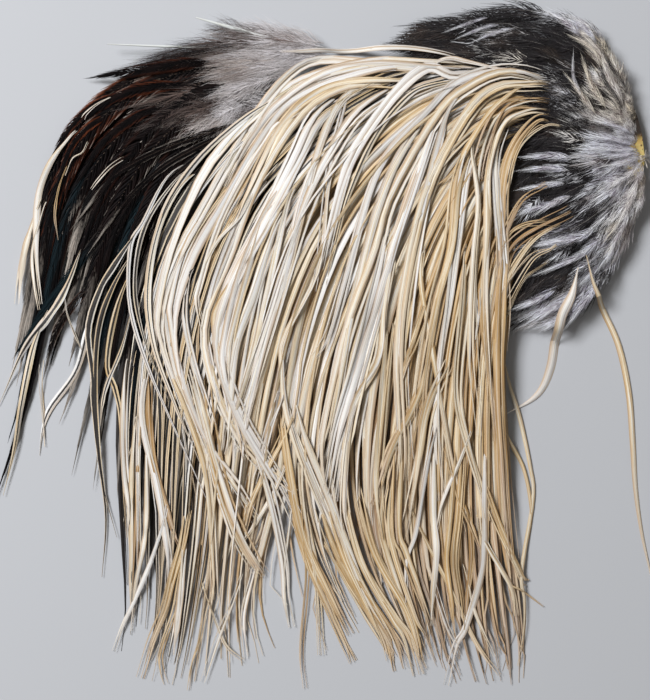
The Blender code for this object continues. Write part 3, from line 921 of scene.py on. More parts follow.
# %% Lay the rump feathers
RUMP_BASE = 0.0015
RUMP_RISE = 0.0062
RUMP_ARCH = 1.9
RUMP_LIFTS = (0.55, 1.0)
RUMP_DROOP = 0.75
RUMP_DROOPS = (0.80, 1.05)
RUMP_LAST_END = 1.06
RUMP_ROWS = {"rump_feathers_tip": (0.0, 0.20, 84), "rump_feathers_inner": (0.20, 0.46, 74),
             "rump_feathers_middle": (0.42, 0.66, 84), "rump_feathers_outer": (0.60, 0.84, 80)}
RUMP_SIZES = (0.015, 0.024)
RUMP_HALF = (0.0024, 0.0044)
RUMP_SHAFT = 0.025
RUMP_STATIONS = 14
RUMP_VANE = dict(
    barbs=30, sweep=0.42, outline=loose_outline, cover=1.05, fray=0.35, fluff=0.0016, fold=0.25, wave=0.10,
)
RIM_SIZES = (0.007, 0.011)
RIM_ENDS = (0.04, 0.14)
RIM_NARROWER = 0.45
DARK_SPOTS = [
    (545, 150, 20), (546, 186, 18), (553, 212, 17), (585, 222, 12), (552, 120, 18), (512, 36, 42),
    (556, 60, 24), (470, 30, 40), (430, 30, 40), (575, 92, 10), (548, 282, 15), (515, 330, 14), (588, 66, 9),
    (572, 256, 8), (598, 262, 6), (566, 312, 7), (588, 290, 6), (600, 96, 6),
]
CREAM_SPOTS = [
    (594, 46, 22), (612, 76, 24), (592, 106, 16), (626, 110, 18), (630, 190, 18), (612, 236, 14),
    (560, 128, 10), (545, 60, 10),
]
PALE_SPOTS = [(490, 30, 14), (464, 36, 9), (515, 168, 8), (520, 206, 8), (524, 240, 10)]
MAUVE_SPOTS = [(508, 60, 18), (480, 56, 9), (548, 84, 12), (530, 316, 10)]


def route_length(routes, across):
    """The length of a fan's route at each share across, in metres."""
    share = np.linspace(0, 1, 24)[None, :]
    flat = fan_at(routes, across[:, None] + 0 * share, share + 0 * across[:, None])
    return np.linalg.norm(np.diff(flat, axis=1), axis=-1).sum(-1)


def near_spots(flat, spots):
    """How much a place on the table is in one of the round patches, from 0 to 1."""
    total = np.zeros(len(flat))
    for column, row, radius in spots:
        away = np.linalg.norm(flat - on_table((column, row)), axis=-1) / (radius * GRID_STEP)
        total += np.exp(-(away**2))
    return np.clip(total, 0, 1)


chance = np.random.default_rng(41)
rump_pieces = []
for name, (row_low, row_high, count) in RUMP_ROWS.items():
    across = np.clip(spread_evenly(chance, count) + chance.normal(0, 0.01, count), 0.0, 1.0)
    begin = chance.uniform(row_low, row_high, count)
    rim_share = 1 - eased(begin, *RIM_ENDS)
    size = chance.uniform(*RUMP_SIZES, count) * (1 - rim_share)
    size += chance.uniform(*RIM_SIZES, count) * rim_share
    end = np.minimum(begin + size / route_length(RUMP_ROUTES, across), RUMP_LAST_END)
    lift = chance.uniform(*RUMP_LIFTS, count)[:, None]

    def rump_height(along, share):
        droop = 1 - RUMP_DROOP * eased(along, *RUMP_DROOPS)
        return RUMP_BASE + (RUMP_RISE * lift * np.sin(RUMP_ARCH * share) + 0.0012) * droop

    paths = fan_paths(RUMP_ROUTES, across, begin, end, RUMP_STATIONS, rump_height)
    half = chance.uniform(*RUMP_HALF, count) * (1 - RIM_NARROWER * rim_share)
    tip_spot = paths[:, -3, :2]
    rump_pieces.append(feather_piece(
        name, plumes(chance, paths, half, **RUMP_VANE), shafts(paths, half * RUMP_SHAFT),
        {
            "tint": chance.uniform(0, 1, count),
            "dark": np.clip(near_spots(tip_spot, DARK_SPOTS) + chance.uniform(-0.25, 0.30, count), 0, 1),
            "cream": near_spots(tip_spot, CREAM_SPOTS) * chance.uniform(0.45, 1.0, count),
        },
        rump_material,
    ))

# %% [markdown]
# ## Dark fluff under the roots
# Between the rump feathers and the hackles the base of every feather is black fluff. It fills the gaps
# between the hackles' roots, and shows as a brown and black fringe along the far edge. It differs from
# the rump feathers only in its place and its numbers, so the same functions and finish serve.

# %% Lay the dark fluff
FLUFF_ROUTES = [
    [(606, 40), (560, 26), (500, 20), (440, 26), (392, 40)],
    [(604, 70), (562, 56), (512, 48), (452, 44), (398, 50)],
    [(606, 112), (576, 92), (544, 78), (506, 68), (462, 60)],
    [(612, 140), (588, 128), (562, 118), (536, 112), (508, 112)],
    [(614, 160), (590, 166), (566, 172), (544, 182), (522, 200)],
    [(610, 190), (590, 212), (566, 232), (542, 252), (518, 276)],
    [(606, 220), (590, 250), (566, 276), (542, 296), (516, 314)],
]
FLUFF_COUNT = 152
FLUFF_BEGINS = (0.0, 0.84)
FLUFF_SIZES = (0.015, 0.022)
FLUFF_LAST_END = 1.05
FLUFF_BASE = 0.0034
FLUFF_RISE = 0.0050
FLUFF_ARCH = 2.2
FLUFF_LIFTS = (0.4, 1.0)
FLUFF_HALF = (0.0030, 0.0050)
FLUFF_SHAFT = 0.02
FLUFF_VANE = RUMP_VANE | dict(barbs=26, sweep=0.45, fold=0.2, wave=0.15)

chance = np.random.default_rng(45)
fluff_across = spread_evenly(chance, FLUFF_COUNT)
fluff_begin = chance.uniform(*FLUFF_BEGINS, FLUFF_COUNT)
fluff_size = chance.uniform(*FLUFF_SIZES, FLUFF_COUNT)
fluff_end = fluff_begin + fluff_size / route_length(FLUFF_ROUTES, fluff_across)
fluff_end = np.minimum(fluff_end, FLUFF_LAST_END)
fluff_lift = chance.uniform(*FLUFF_LIFTS, FLUFF_COUNT)[:, None]
fluff_paths = fan_paths(
    FLUFF_ROUTES, fluff_across, fluff_begin, fluff_end, RUMP_STATIONS,
    lambda along, share: FLUFF_BASE + FLUFF_RISE * fluff_lift * np.sin(FLUFF_ARCH * share),
)
fluff_half = chance.uniform(*FLUFF_HALF, FLUFF_COUNT)
fluff_spot = fluff_paths[:, -4, :2]
rump_pieces.append(feather_piece(
    "rump_fluff", plumes(chance, fluff_paths, fluff_half, **FLUFF_VANE),
    shafts(fluff_paths, fluff_half * FLUFF_SHAFT),
    {
        "tint": chance.uniform(0, 1, FLUFF_COUNT),
        "dark": np.clip(chance.uniform(0.84, 1.25, FLUFF_COUNT) - 1.1 * near_spots(fluff_spot, PALE_SPOTS)
                        - 0.6 * near_spots(fluff_spot, MAUVE_SPOTS), 0, 1),
        "cream": 0.7 * near_spots(fluff_spot, MAUVE_SPOTS) * chance.uniform(0.2, 1.0, FLUFF_COUNT),
    },
    rump_material,
))

# %% [markdown]
# ## Down
# Over the roots of the side feathers lies down: barbs so long, fine and loose that no vane holds them.
# It is white and beige by the hackles and turns brown, then black, towards the left. A ramp holds those
# colours in that order, and each tuft's own number, dark, says where on the ramp it is.

# %% Down finish
def down_finish():
    f = Finish("white_down", Roughness=0.8, Specular_IOR_Level=0.2, Sheen_Weight=0.1)
    lot, dark, barb = f.attribute("lot"), f.attribute("dark"), f.attribute("barb")
    tint, along = f.attribute("tint"), f.attribute("along")
    streak = f.noise(f.point(lot * 50.0, along * 3.0, tint * 40.0), 1.2, 2.0)
    colour = f.ramp(dark + (streak - 0.5) * 0.5, [
        (0.0, (0.88, 0.86, 0.90)), (0.22, (0.68, 0.61, 0.58)), (0.42, (0.28, 0.205, 0.18)),
        (0.66, (0.05, 0.035, 0.033)), (1.0, (0.010, 0.008, 0.009)),
    ])
    colour = f.mix((1 - f.step(streak, 0.38, 0.50)) * 0.75, colour, (0.10, 0.068, 0.060))
    colour = f.mix(f.step(barb, 0.3, 1.0) * 0.30 * (1 - dark), colour, (0.80, 0.78, 0.76))
    f.plug(f.shader.inputs["Base Color"], colour)
    f.bump(streak, 0.0002, 0.3)
    return f.done()


down_material = down_finish()

# %% [markdown]
# ## Laying the down
# On the skin these tufts lift a little and fall over their neighbours. The same two functions lay them,
# with a low cover, so that a barb is thin against the gap to the next and what lies below shows through.

# %% Lay the down
DOWN_COUNT = 84
DOWN_ACROSS = (-0.04, 1.04)
DOWN_BEGINS = (-0.02, 0.66)
DOWN_SPANS = (0.30, 0.48)
DOWN_FLOOR = 0.0046
DOWN_RISE = 0.0034
DOWN_ARCH = 2.4
DOWN_LIFTS = (0.3, 1.0)
DOWN_FALL = 0.002
DOWN_HALF = (0.0035, 0.0065)
DOWN_SHAFT = 0.03
DOWN_WHITENS = (190, 292)
DOWN_SLANT = 55
DOWN_UNEVEN = 0.24
DOWN_VANE = dict(
    barbs=36, sweep=0.55, outline=lambda share: eased(share, -0.3, 0.3) * (1 - share**4),
    cover=0.55, fray=0.4, fluff=0.0022, fold=0.15, wave=0.25,
)

chance = np.random.default_rng(51)
down_across = chance.uniform(*DOWN_ACROSS, DOWN_COUNT)
down_begin = chance.uniform(*DOWN_BEGINS, DOWN_COUNT)
down_end = down_begin + chance.uniform(*DOWN_SPANS, DOWN_COUNT)
down_lift = chance.uniform(*DOWN_LIFTS, DOWN_COUNT)[:, None]
down_paths = fan_paths(
    DOWN_ROUTES, down_across, down_begin, down_end, RUMP_STATIONS,
    lambda along, share: DOWN_FLOOR + DOWN_RISE * down_lift * np.sin(DOWN_ARCH * share) - DOWN_FALL * along,
)
down_half = chance.uniform(*DOWN_HALF, DOWN_COUNT)
down_column = off_table(down_paths[:, 9, :2])[:, 0]
down_piece = feather_piece(
    "down_tufts", plumes(chance, down_paths, down_half, **DOWN_VANE),
    shafts(down_paths, down_half * DOWN_SHAFT),
    {
        "tint": chance.uniform(0, 1, DOWN_COUNT),
        "dark": np.clip(1 - eased(down_column + DOWN_SLANT * down_across, *DOWN_WHITENS)
                        + chance.normal(0, DOWN_UNEVEN, DOWN_COUNT), 0, 1),
    },
    down_material,
)

# %% [markdown]
# ## The dried skin
# Only a rim of the skin shows, at the bare tip: amber and hard, with a dark dot where each feather was.
# A cell pattern gives the dots, and away from the tip the skin under the feathers is darkened to near black
# as painted shade.

# %% Skin finish
SKIN_SHADE_FROM_TIP = (0.0085, 0.0120)


def skin_finish():
    f = Finish("dried_skin", Roughness=0.45, Specular_IOR_Level=0.5, Subsurface_Weight=0.15,
               Subsurface_Scale=0.002)
    spot = f.add("ShaderNodeTexCoord", {}, {}, "Object")
    cloud = f.noise(spot, 90.0, 4.0)
    colour = f.mix(f.step(cloud, 0.35, 0.65), (0.66, 0.52, 0.20), (0.50, 0.34, 0.10))
    dots = f.add("ShaderNodeTexVoronoi", {}, {"Vector": spot, "Scale": 520.0}, "Distance")
    follicle = 1 - f.step(dots, 0.16, 0.32)
    colour = f.mix(follicle * 0.85, colour, (0.20, 0.06, 0.03))
    tip = (*on_table(SKIN_OUTLINE[0]), 0.0)
    from_tip = f.add("ShaderNodeVectorMath", {"operation": "DISTANCE"}, {0: spot, 1: tip}, "Value")
    # painted shade: the skin under the feathers turns near black past a distance from the tip
    colour = f.mix(f.step(from_tip, *SKIN_SHADE_FROM_TIP), colour, (0.035, 0.024, 0.018))
    f.plug(f.shader.inputs["Base Color"], colour)
    f.plug(f.shader.inputs["Roughness"], 0.35 + cloud * 0.3)
    f.bump(cloud + follicle * 0.6, 0.0006, 0.7)
    return f.done()


skin_material = skin_finish()

# %% [markdown]
# ## Modelling the skin
# Dried skin is a stiff sheet whose free edge curls. A circle takes the outline's shape point by point, is
# inset for the rim and drawn up to its thickness. The rim near the tip is then raised in four passes, each
# with a shorter reach, so that the curl grows towards the tip.

# %% Model the skin
SKIN_THICKNESS = 0.0010
SKIN_RIM_STEPS = (0.0010, 0.0016, 0.0026)
SKIN_CURL = [(0.030, 0.0007), (0.022, 0.0009), (0.0146, 0.0010), (0.009, 0.0008)]
SKIN_POINTS = 168
SKIN_TUCK = 32
SKIN_TUCK_FROM = 556
SKIN_TUCK_ROW = 96
SKIN_TUCK_SOFT = (60, 20)
SKIN_HEART = np.array((638, 146))
SKIN_SHRINK = 0.975

bpy.ops.object.select_all(action="DESELECT")
bpy.ops.mesh.primitive_circle_add(vertices=SKIN_POINTS, radius=0.1, fill_type="NGON")
skin_piece = bpy.context.object
skin_piece.name = "dried_skin"
rim = curve_at(SKIN_OUTLINE + SKIN_OUTLINE[:1], np.arange(SKIN_POINTS) / SKIN_POINTS)
far_edge = eased(SKIN_TUCK_FROM - rim[:, 0], 0, SKIN_TUCK_SOFT[0])
far_edge *= eased(SKIN_TUCK_ROW - rim[:, 1], 0, SKIN_TUCK_SOFT[1])
rim[:, 1] += SKIN_TUCK * far_edge
rim = on_table(SKIN_HEART + (rim - SKIN_HEART) * SKIN_SHRINK)
loop_order = [skin_piece.data.loops[i].vertex_index for i in skin_piece.data.polygons[0].loop_indices]
for number, (x, y) in zip(loop_order, rim):
    skin_piece.data.vertices[number].co = (x, y, 0.0)
bpy.ops.object.mode_set(mode="EDIT")
bpy.ops.mesh.select_all(action="SELECT")
for step in SKIN_RIM_STEPS:
    bpy.ops.mesh.inset(thickness=step, use_even_offset=True)
bpy.ops.mesh.select_all(action="SELECT")
bpy.ops.mesh.extrude_region_move(TRANSFORM_OT_translate={"value": (0, 0, SKIN_THICKNESS)})
bpy.ops.mesh.select_all(action="SELECT")
bpy.ops.mesh.normals_make_consistent(inside=False)
bpy.ops.object.mode_set(mode="OBJECT")
tip = on_table(SKIN_OUTLINE[0])
for reach, rise in SKIN_CURL:
    for vert in skin_piece.data.vertices:
        at_rim = np.linalg.norm(rim - np.array(vert.co.xy), axis=-1).min() < SKIN_RIM_STEPS[0] * 1.5
        vert.select = bool(at_rim and np.linalg.norm(np.array(vert.co.xy) - tip) < reach)
    bpy.ops.object.mode_set(mode="EDIT")
    bpy.ops.transform.translate(value=(0, 0, rise))
    bpy.ops.object.mode_set(mode="OBJECT")
skin_piece.data.materials.append(skin_material)
bpy.ops.object.shade_smooth_by_angle(angle=math.radians(40))
print("dried_skin:", len(skin_piece.data.polygons), "faces")

# %% [markdown]
# ## Quills
# Two bare white quills stick out at the narrow end, hollow shafts whose vanes are gone. A cone would be
# quicker, but it narrows evenly. A real quill keeps its width and then runs to a point, so a circle is
# drawn out in nine steps and made smaller ever faster.

# %% Model the quills
QUILL_ROUTES = [[(262, 50), (108, 45)], [(266, 38), (196, 18)]]
QUILL_HEIGHTS = [(0.0024, 0.0060), (0.0046, 0.0050)]
QUILL_RADII = [0.0007, 0.0009]
QUILL_TAPER = 0.72
QUILL_TAPER_POWER = 2.2
QUILL_SIDES = 12
QUILL_STEPS = 9


def quill_finish():
    f = Finish("white_quill", Roughness=0.3, Specular_IOR_Level=0.6)
    spot = f.add("ShaderNodeTexCoord", {}, {}, "Object")
    cloud = f.noise(spot, 160.0, 3.0)
    f.plug(f.shader.inputs["Base Color"], f.mix(cloud, (0.84, 0.90, 0.92), (0.66, 0.66, 0.62)))
    f.plug(f.shader.inputs["Roughness"], 0.22 + cloud * 0.25)
    return f.done()


quill_material = quill_finish()
quill_pieces = []
for number, (route, (low, high), radius) in enumerate(zip(QUILL_ROUTES, QUILL_HEIGHTS, QUILL_RADII)):
    ends = on_table(route)
    start = np.array([*ends[0], low + radius])
    stride = (np.array([*ends[1], high]) - start) / QUILL_STEPS
    heading = math.atan2(stride[1], stride[0])
    bpy.ops.object.select_all(action="DESELECT")
    bpy.ops.mesh.primitive_circle_add(
        vertices=QUILL_SIDES, radius=radius, fill_type="NGON", location=tuple(start),
        rotation=(0, math.pi / 2, heading),
    )
    quill = bpy.context.object
    quill.name = f"pin_quill_{number + 1}"
    bpy.ops.object.transform_apply(location=True, rotation=True, scale=True)
    bpy.ops.object.mode_set(mode="EDIT")
    bpy.ops.mesh.select_all(action="SELECT")
    for k in range(1, QUILL_STEPS + 1):
        here = (k / QUILL_STEPS) ** QUILL_TAPER_POWER
        before = ((k - 1) / QUILL_STEPS) ** QUILL_TAPER_POWER
        shrink = (1 - QUILL_TAPER * here) / (1 - QUILL_TAPER * before)
        bpy.ops.mesh.extrude_region_move(TRANSFORM_OT_translate={"value": tuple(stride)})
        bpy.ops.transform.resize(value=(shrink,) * 3, center_override=tuple(start + stride * k))
    bpy.ops.mesh.select_all(action="SELECT")
    bpy.ops.mesh.normals_make_consistent(inside=False)
    bpy.ops.object.mode_set(mode="OBJECT")
    bpy.ops.object.shade_smooth_by_angle(angle=math.radians(50))
    quill.data.materials.append(quill_material)
    quill_pieces.append(quill)
print("quills:", [len(quill.data.polygons) for quill in quill_pieces], "faces")

# %% [markdown]
# ## Locks on top
# Seen from above, a comb has left the top hackles in locks: some sweep together, some cross the parting,
# curl out at the tips or loop out at the near side. A fan can't hold that, so each lock is drawn from
# its root to its tip, and one to four hackles follow it loosely.

# %% Routes of the locks
MILLIMETRE = 0.001
# Each row: half width in mm, gold, black middle, hackles, spread in grid steps, route
FAR_LOCKS = [
    (1.0, -0.05, 0, 1, 0, [(470, 62), (420, 52), (380, 50), (326, 51), (300, 53), (281, 54)]),
    (1.6, 0.00, 0, 3, 6, [(480, 72), (427, 69), (370, 65), (320, 75), (276, 104), (256, 128), (236, 158),
        (222, 186)]),
    (1.5, 0.00, 0, 2, 5, [(440, 72), (380, 66), (321, 60), (286, 79), (250, 127), (208, 201), (171, 270),
        (158, 332), (176, 399), (190, 430)]),
    (1.5, -0.05, 0, 3, 6, [(430, 70), (380, 65), (317, 79), (278, 100), (216, 159), (178, 236), (160, 310),
        (164, 345), (188, 410), (218, 470)]),
    (1.6, -0.08, 0, 2, 5, [(430, 76), (380, 74), (309, 96), (272, 127), (225, 205), (193, 259), (174, 322),
        (182, 391), (207, 460)]),
    (1.6, 0.25, 0, 2, 5, [(430, 84), (363, 83), (320, 94), (284, 128), (254, 188), (238, 230)]),
    (1.4, 0.12, 0, 2, 4, [(420, 84), (370, 86), (335, 93), (300, 119), (258, 186), (230, 260), (206, 322),
        (212, 376), (239, 439), (281, 482), (296, 493)]),
    (1.3, 0.02, 0, 2, 4, [(320, 100), (290, 118), (267, 138), (222, 215), (198, 284), (194, 306),
        (203, 352)]),
    (1.3, 0.08, 0.5, 2, 4, [(300, 92), (250, 119), (202, 159), (168, 206), (152, 255), (148, 285),
        (150, 320)]),
    (1.6, 0.12, 0.3, 1, 0, [(205, 166), (179, 190), (158, 232), (148, 292), (154, 346), (173, 399),
        (200, 462)]),
    (0.9, -0.10, 0.3, 1, 0, [(190, 160), (166, 180), (144, 222), (131, 247), (130, 306), (148, 367),
        (179, 438), (210, 506)]),
    (1.2, 0.10, 0.8, 1, 0, [(200, 164), (176, 181), (145, 228), (135, 284), (144, 338), (168, 399)]),
    (1.4, -0.08, 0, 2, 4, [(222, 186), (186, 243), (170, 297), (169, 320), (180, 376), (204, 438),
        (238, 484), (258, 519)]),
    (1.3, -0.10, 0, 1, 0, [(196, 262), (188, 282), (185, 320), (193, 362), (204, 399), (214, 430)]),
    (1.3, 0.95, 2, 1, 0, [(203, 244), (190, 275), (187, 301), (189, 329), (198, 372)]),
    (1.2, 0.05, 0, 1, 0, [(285, 150), (255, 188), (239, 218), (215, 246), (199, 284), (194, 306)]),
    (1.7, -0.10, 0, 2, 4, [(280, 160), (246, 205), (217, 271), (204, 325), (206, 348), (218, 399),
        (228, 430)]),
    (1.4, 0.30, 0, 2, 4, [(275, 192), (243, 259), (218, 302), (214, 327), (224, 376), (240, 430),
        (246, 460)]),
    (1.5, -0.05, 0, 2, 4, [(300, 166), (267, 216), (241, 278), (225, 346), (226, 376), (234, 410),
        (245, 450)]),
    (1.2, 0.05, 0, 1, 0, [(280, 196), (263, 223), (250, 267), (232, 334), (229, 362), (230, 392)]),
    (1.9, 0.05, 0, 2, 5, [(292, 206), (276, 233), (255, 296), (236, 346), (228, 410), (224, 450)]),
    (1.3, 0.10, 0, 2, 5, [(300, 180), (288, 208), (269, 292), (257, 348), (236, 420), (228, 455)]),
    (1.7, -0.08, 0, 2, 4, [(326, 150), (308, 187), (288, 270), (269, 327), (253, 390), (240, 452)]),
    (1.5, -0.06, 0, 2, 5, [(410, 80), (359, 113), (327, 161), (306, 208), (288, 262), (268, 330),
        (246, 402)]),
    (1.3, 0.00, 0, 2, 4, [(380, 80), (342, 100), (320, 144), (300, 215), (281, 290), (262, 350),
        (240, 430)]),
    (1.8, -0.10, 0, 3, 6, [(352, 92), (318, 119), (295, 161), (264, 222), (228, 290), (218, 350),
        (240, 417), (276, 480), (300, 529)]),
    (1.2, 0.05, 0, 1, 0, [(336, 160), (328, 194), (318, 270), (286, 334), (281, 362), (286, 415),
        (307, 478), (340, 546)]),
    (0.9, -0.10, 0, 1, 0, [(358, 66), (349, 93), (340, 127), (331, 166), (326, 208), (321, 260),
        (316, 292)]),
    (1.6, -0.08, 0, 2, 5, [(490, 70), (453, 77), (427, 69), (396, 94), (358, 146), (343, 182), (329, 236),
        (322, 270)]),
    (1.3, 0.15, 0.5, 1, 0, [(480, 80), (433, 87), (406, 100), (374, 140), (348, 198), (334, 251),
        (326, 285)]),
    (1.2, 0.00, 0, 1, 0, [(520, 74), (491, 69), (465, 63), (442, 61), (405, 80)]),
]
NEAR_LOCKS = [
    (1.5, -0.10, 0, 2, 4, [(548, 80), (520, 72), (493, 71), (455, 83), (424, 114), (390, 150), (369, 192),
        (347, 270), (329, 334), (316, 358)]),
    (1.6, 0.10, 0, 3, 6, [(549, 82), (504, 75), (467, 90), (436, 118), (390, 198), (374, 251), (345, 330),
        (324, 420), (320, 460), (326, 500)]),
    (1.5, 0.22, 0, 3, 6, [(550, 84), (531, 85), (496, 89), (467, 114), (427, 190), (406, 280), (399, 355),
        (403, 440), (402, 480)]),
    (1.3, 0.40, 0, 1, 0, [(549, 84), (519, 89), (491, 112), (471, 140), (452, 173), (427, 193)]),
    (1.2, 0.60, 0, 2, 4, [(551, 108), (522, 106), (506, 110), (494, 124), (484, 150), (478, 180)]),
    (1.6, 0.15, 0, 2, 5, [(550, 112), (524, 114), (500, 129), (487, 175), (486, 230), (484, 300),
        (489, 400)]),
    (1.2, 0.50, 0, 3, 5, [(552, 120), (534, 121), (513, 146), (502, 183), (500, 244), (501, 310),
        (498, 350)]),
    (1.2, 0.25, 0.5, 2, 4, [(566, 128), (543, 127), (517, 150), (507, 190), (505, 220)]),
    (1.7, -0.02, 0, 2, 4, [(506, 116), (493, 155), (493, 205), (499, 267), (497, 310), (494, 360)]),
    (1.0, 0.15, 0, 1, 0, [(478, 130), (470, 150), (476, 201), (471, 259), (468, 337), (469, 375),
        (476, 436)]),
    (1.5, 0.38, 0, 2, 5, [(470, 140), (455, 187), (449, 244), (435, 305), (424, 380), (422, 430)]),
    (1.5, 0.00, 0, 2, 5, [(482, 130), (464, 173), (455, 236), (446, 300), (436, 367), (433, 428),
        (437, 500)]),
    (1.9, -0.10, 0, 3, 7, [(444, 100), (426, 152), (410, 198), (392, 251), (377, 310), (360, 370),
        (342, 440), (332, 500)]),
    (1.5, -0.05, 0, 2, 5, [(470, 80), (447, 109), (436, 146), (418, 225), (406, 298), (399, 380),
        (403, 459)]),
    (1.5, 0.05, 0, 2, 5, [(430, 106), (396, 158), (377, 205), (363, 259), (350, 320), (337, 400),
        (330, 440)]),
    (1.2, 0.20, 0, 1, 0, [(424, 230), (420, 283), (432, 352), (441, 405), (453, 467), (470, 530)]),
    (1.4, 0.20, 0, 2, 4, [(468, 230), (463, 306), (458, 390), (470, 444), (485, 490), (492, 520)]),
    (1.3, -0.10, 0, 1, 0, [(474, 286), (475, 297), (477, 312), (474, 340)]),
    (1.1, 0.42, 0, 2, 3, [(489, 230), (481, 298), (484, 344), (493, 405), (498, 440)]),
    (1.3, 0.50, 0, 3, 5, [(504, 240), (498, 298), (496, 382), (502, 474), (510, 560)]),
    (1.2, 0.20, 0, 1, 0, [(533, 246), (505, 283), (502, 333), (499, 398), (505, 459), (506, 540)]),
    (1.0, 0.30, 0, 1, 0, [(500, 340), (508, 379), (520, 416), (531, 467), (534, 500), (522, 573),
        (525, 601), (524, 634), (518, 667)]),
    (0.9, 0.35, 0, 1, 0, [(499, 390), (505, 431), (524, 468), (532, 510), (529, 540)]),
    (1.9, -0.08, 0, 2, 6, [(396, 220), (378, 292), (360, 360), (341, 428), (329, 500)]),
    (1.3, 0.10, 0, 2, 5, [(400, 230), (387, 306), (381, 360), (354, 413), (346, 500), (352, 540)]),
    (1.3, 0.25, 0, 2, 4, [(386, 310), (381, 375), (375, 459), (375, 500), (382, 540)]),
    (1.2, 0.45, 0, 2, 4, [(430, 290), (412, 344), (405, 360), (396, 392)]),
    (1.2, 0.40, 0, 3, 6, [(432, 320), (418, 390), (389, 451), (374, 505)]),
    (1.3, 0.15, 0, 2, 5, [(450, 350), (427, 405), (418, 467), (408, 540)]),
    (1.0, 0.10, 0, 1, 0, [(474, 420), (458, 462), (442, 500), (436, 530)]),
    # over the rump feathers
    (0.8, 0.66, 0, 2, 2, [(572, 210), (562, 216), (543, 225), (522, 237), (508, 252), (500, 280)]),
    (0.9, 0.30, 0, 2, 2, [(560, 222), (531, 240), (507, 277), (501, 305), (498, 390)]),
    (0.7, 0.55, 0, 2, 2, [(548, 187), (540, 191), (520, 204), (503, 240), (496, 280)]),
    (0.5, 0.40, 0, 2, 3, [(552, 220), (524, 225), (511, 234), (504, 250)]),
    (0.6, 0.30, 0, 2, 3, [(556, 245), (548, 250), (528, 260), (502, 300)]),
    (0.5, 0.30, 1, 3, 3, [(550, 260), (540, 267), (520, 282), (502, 320)]),
]
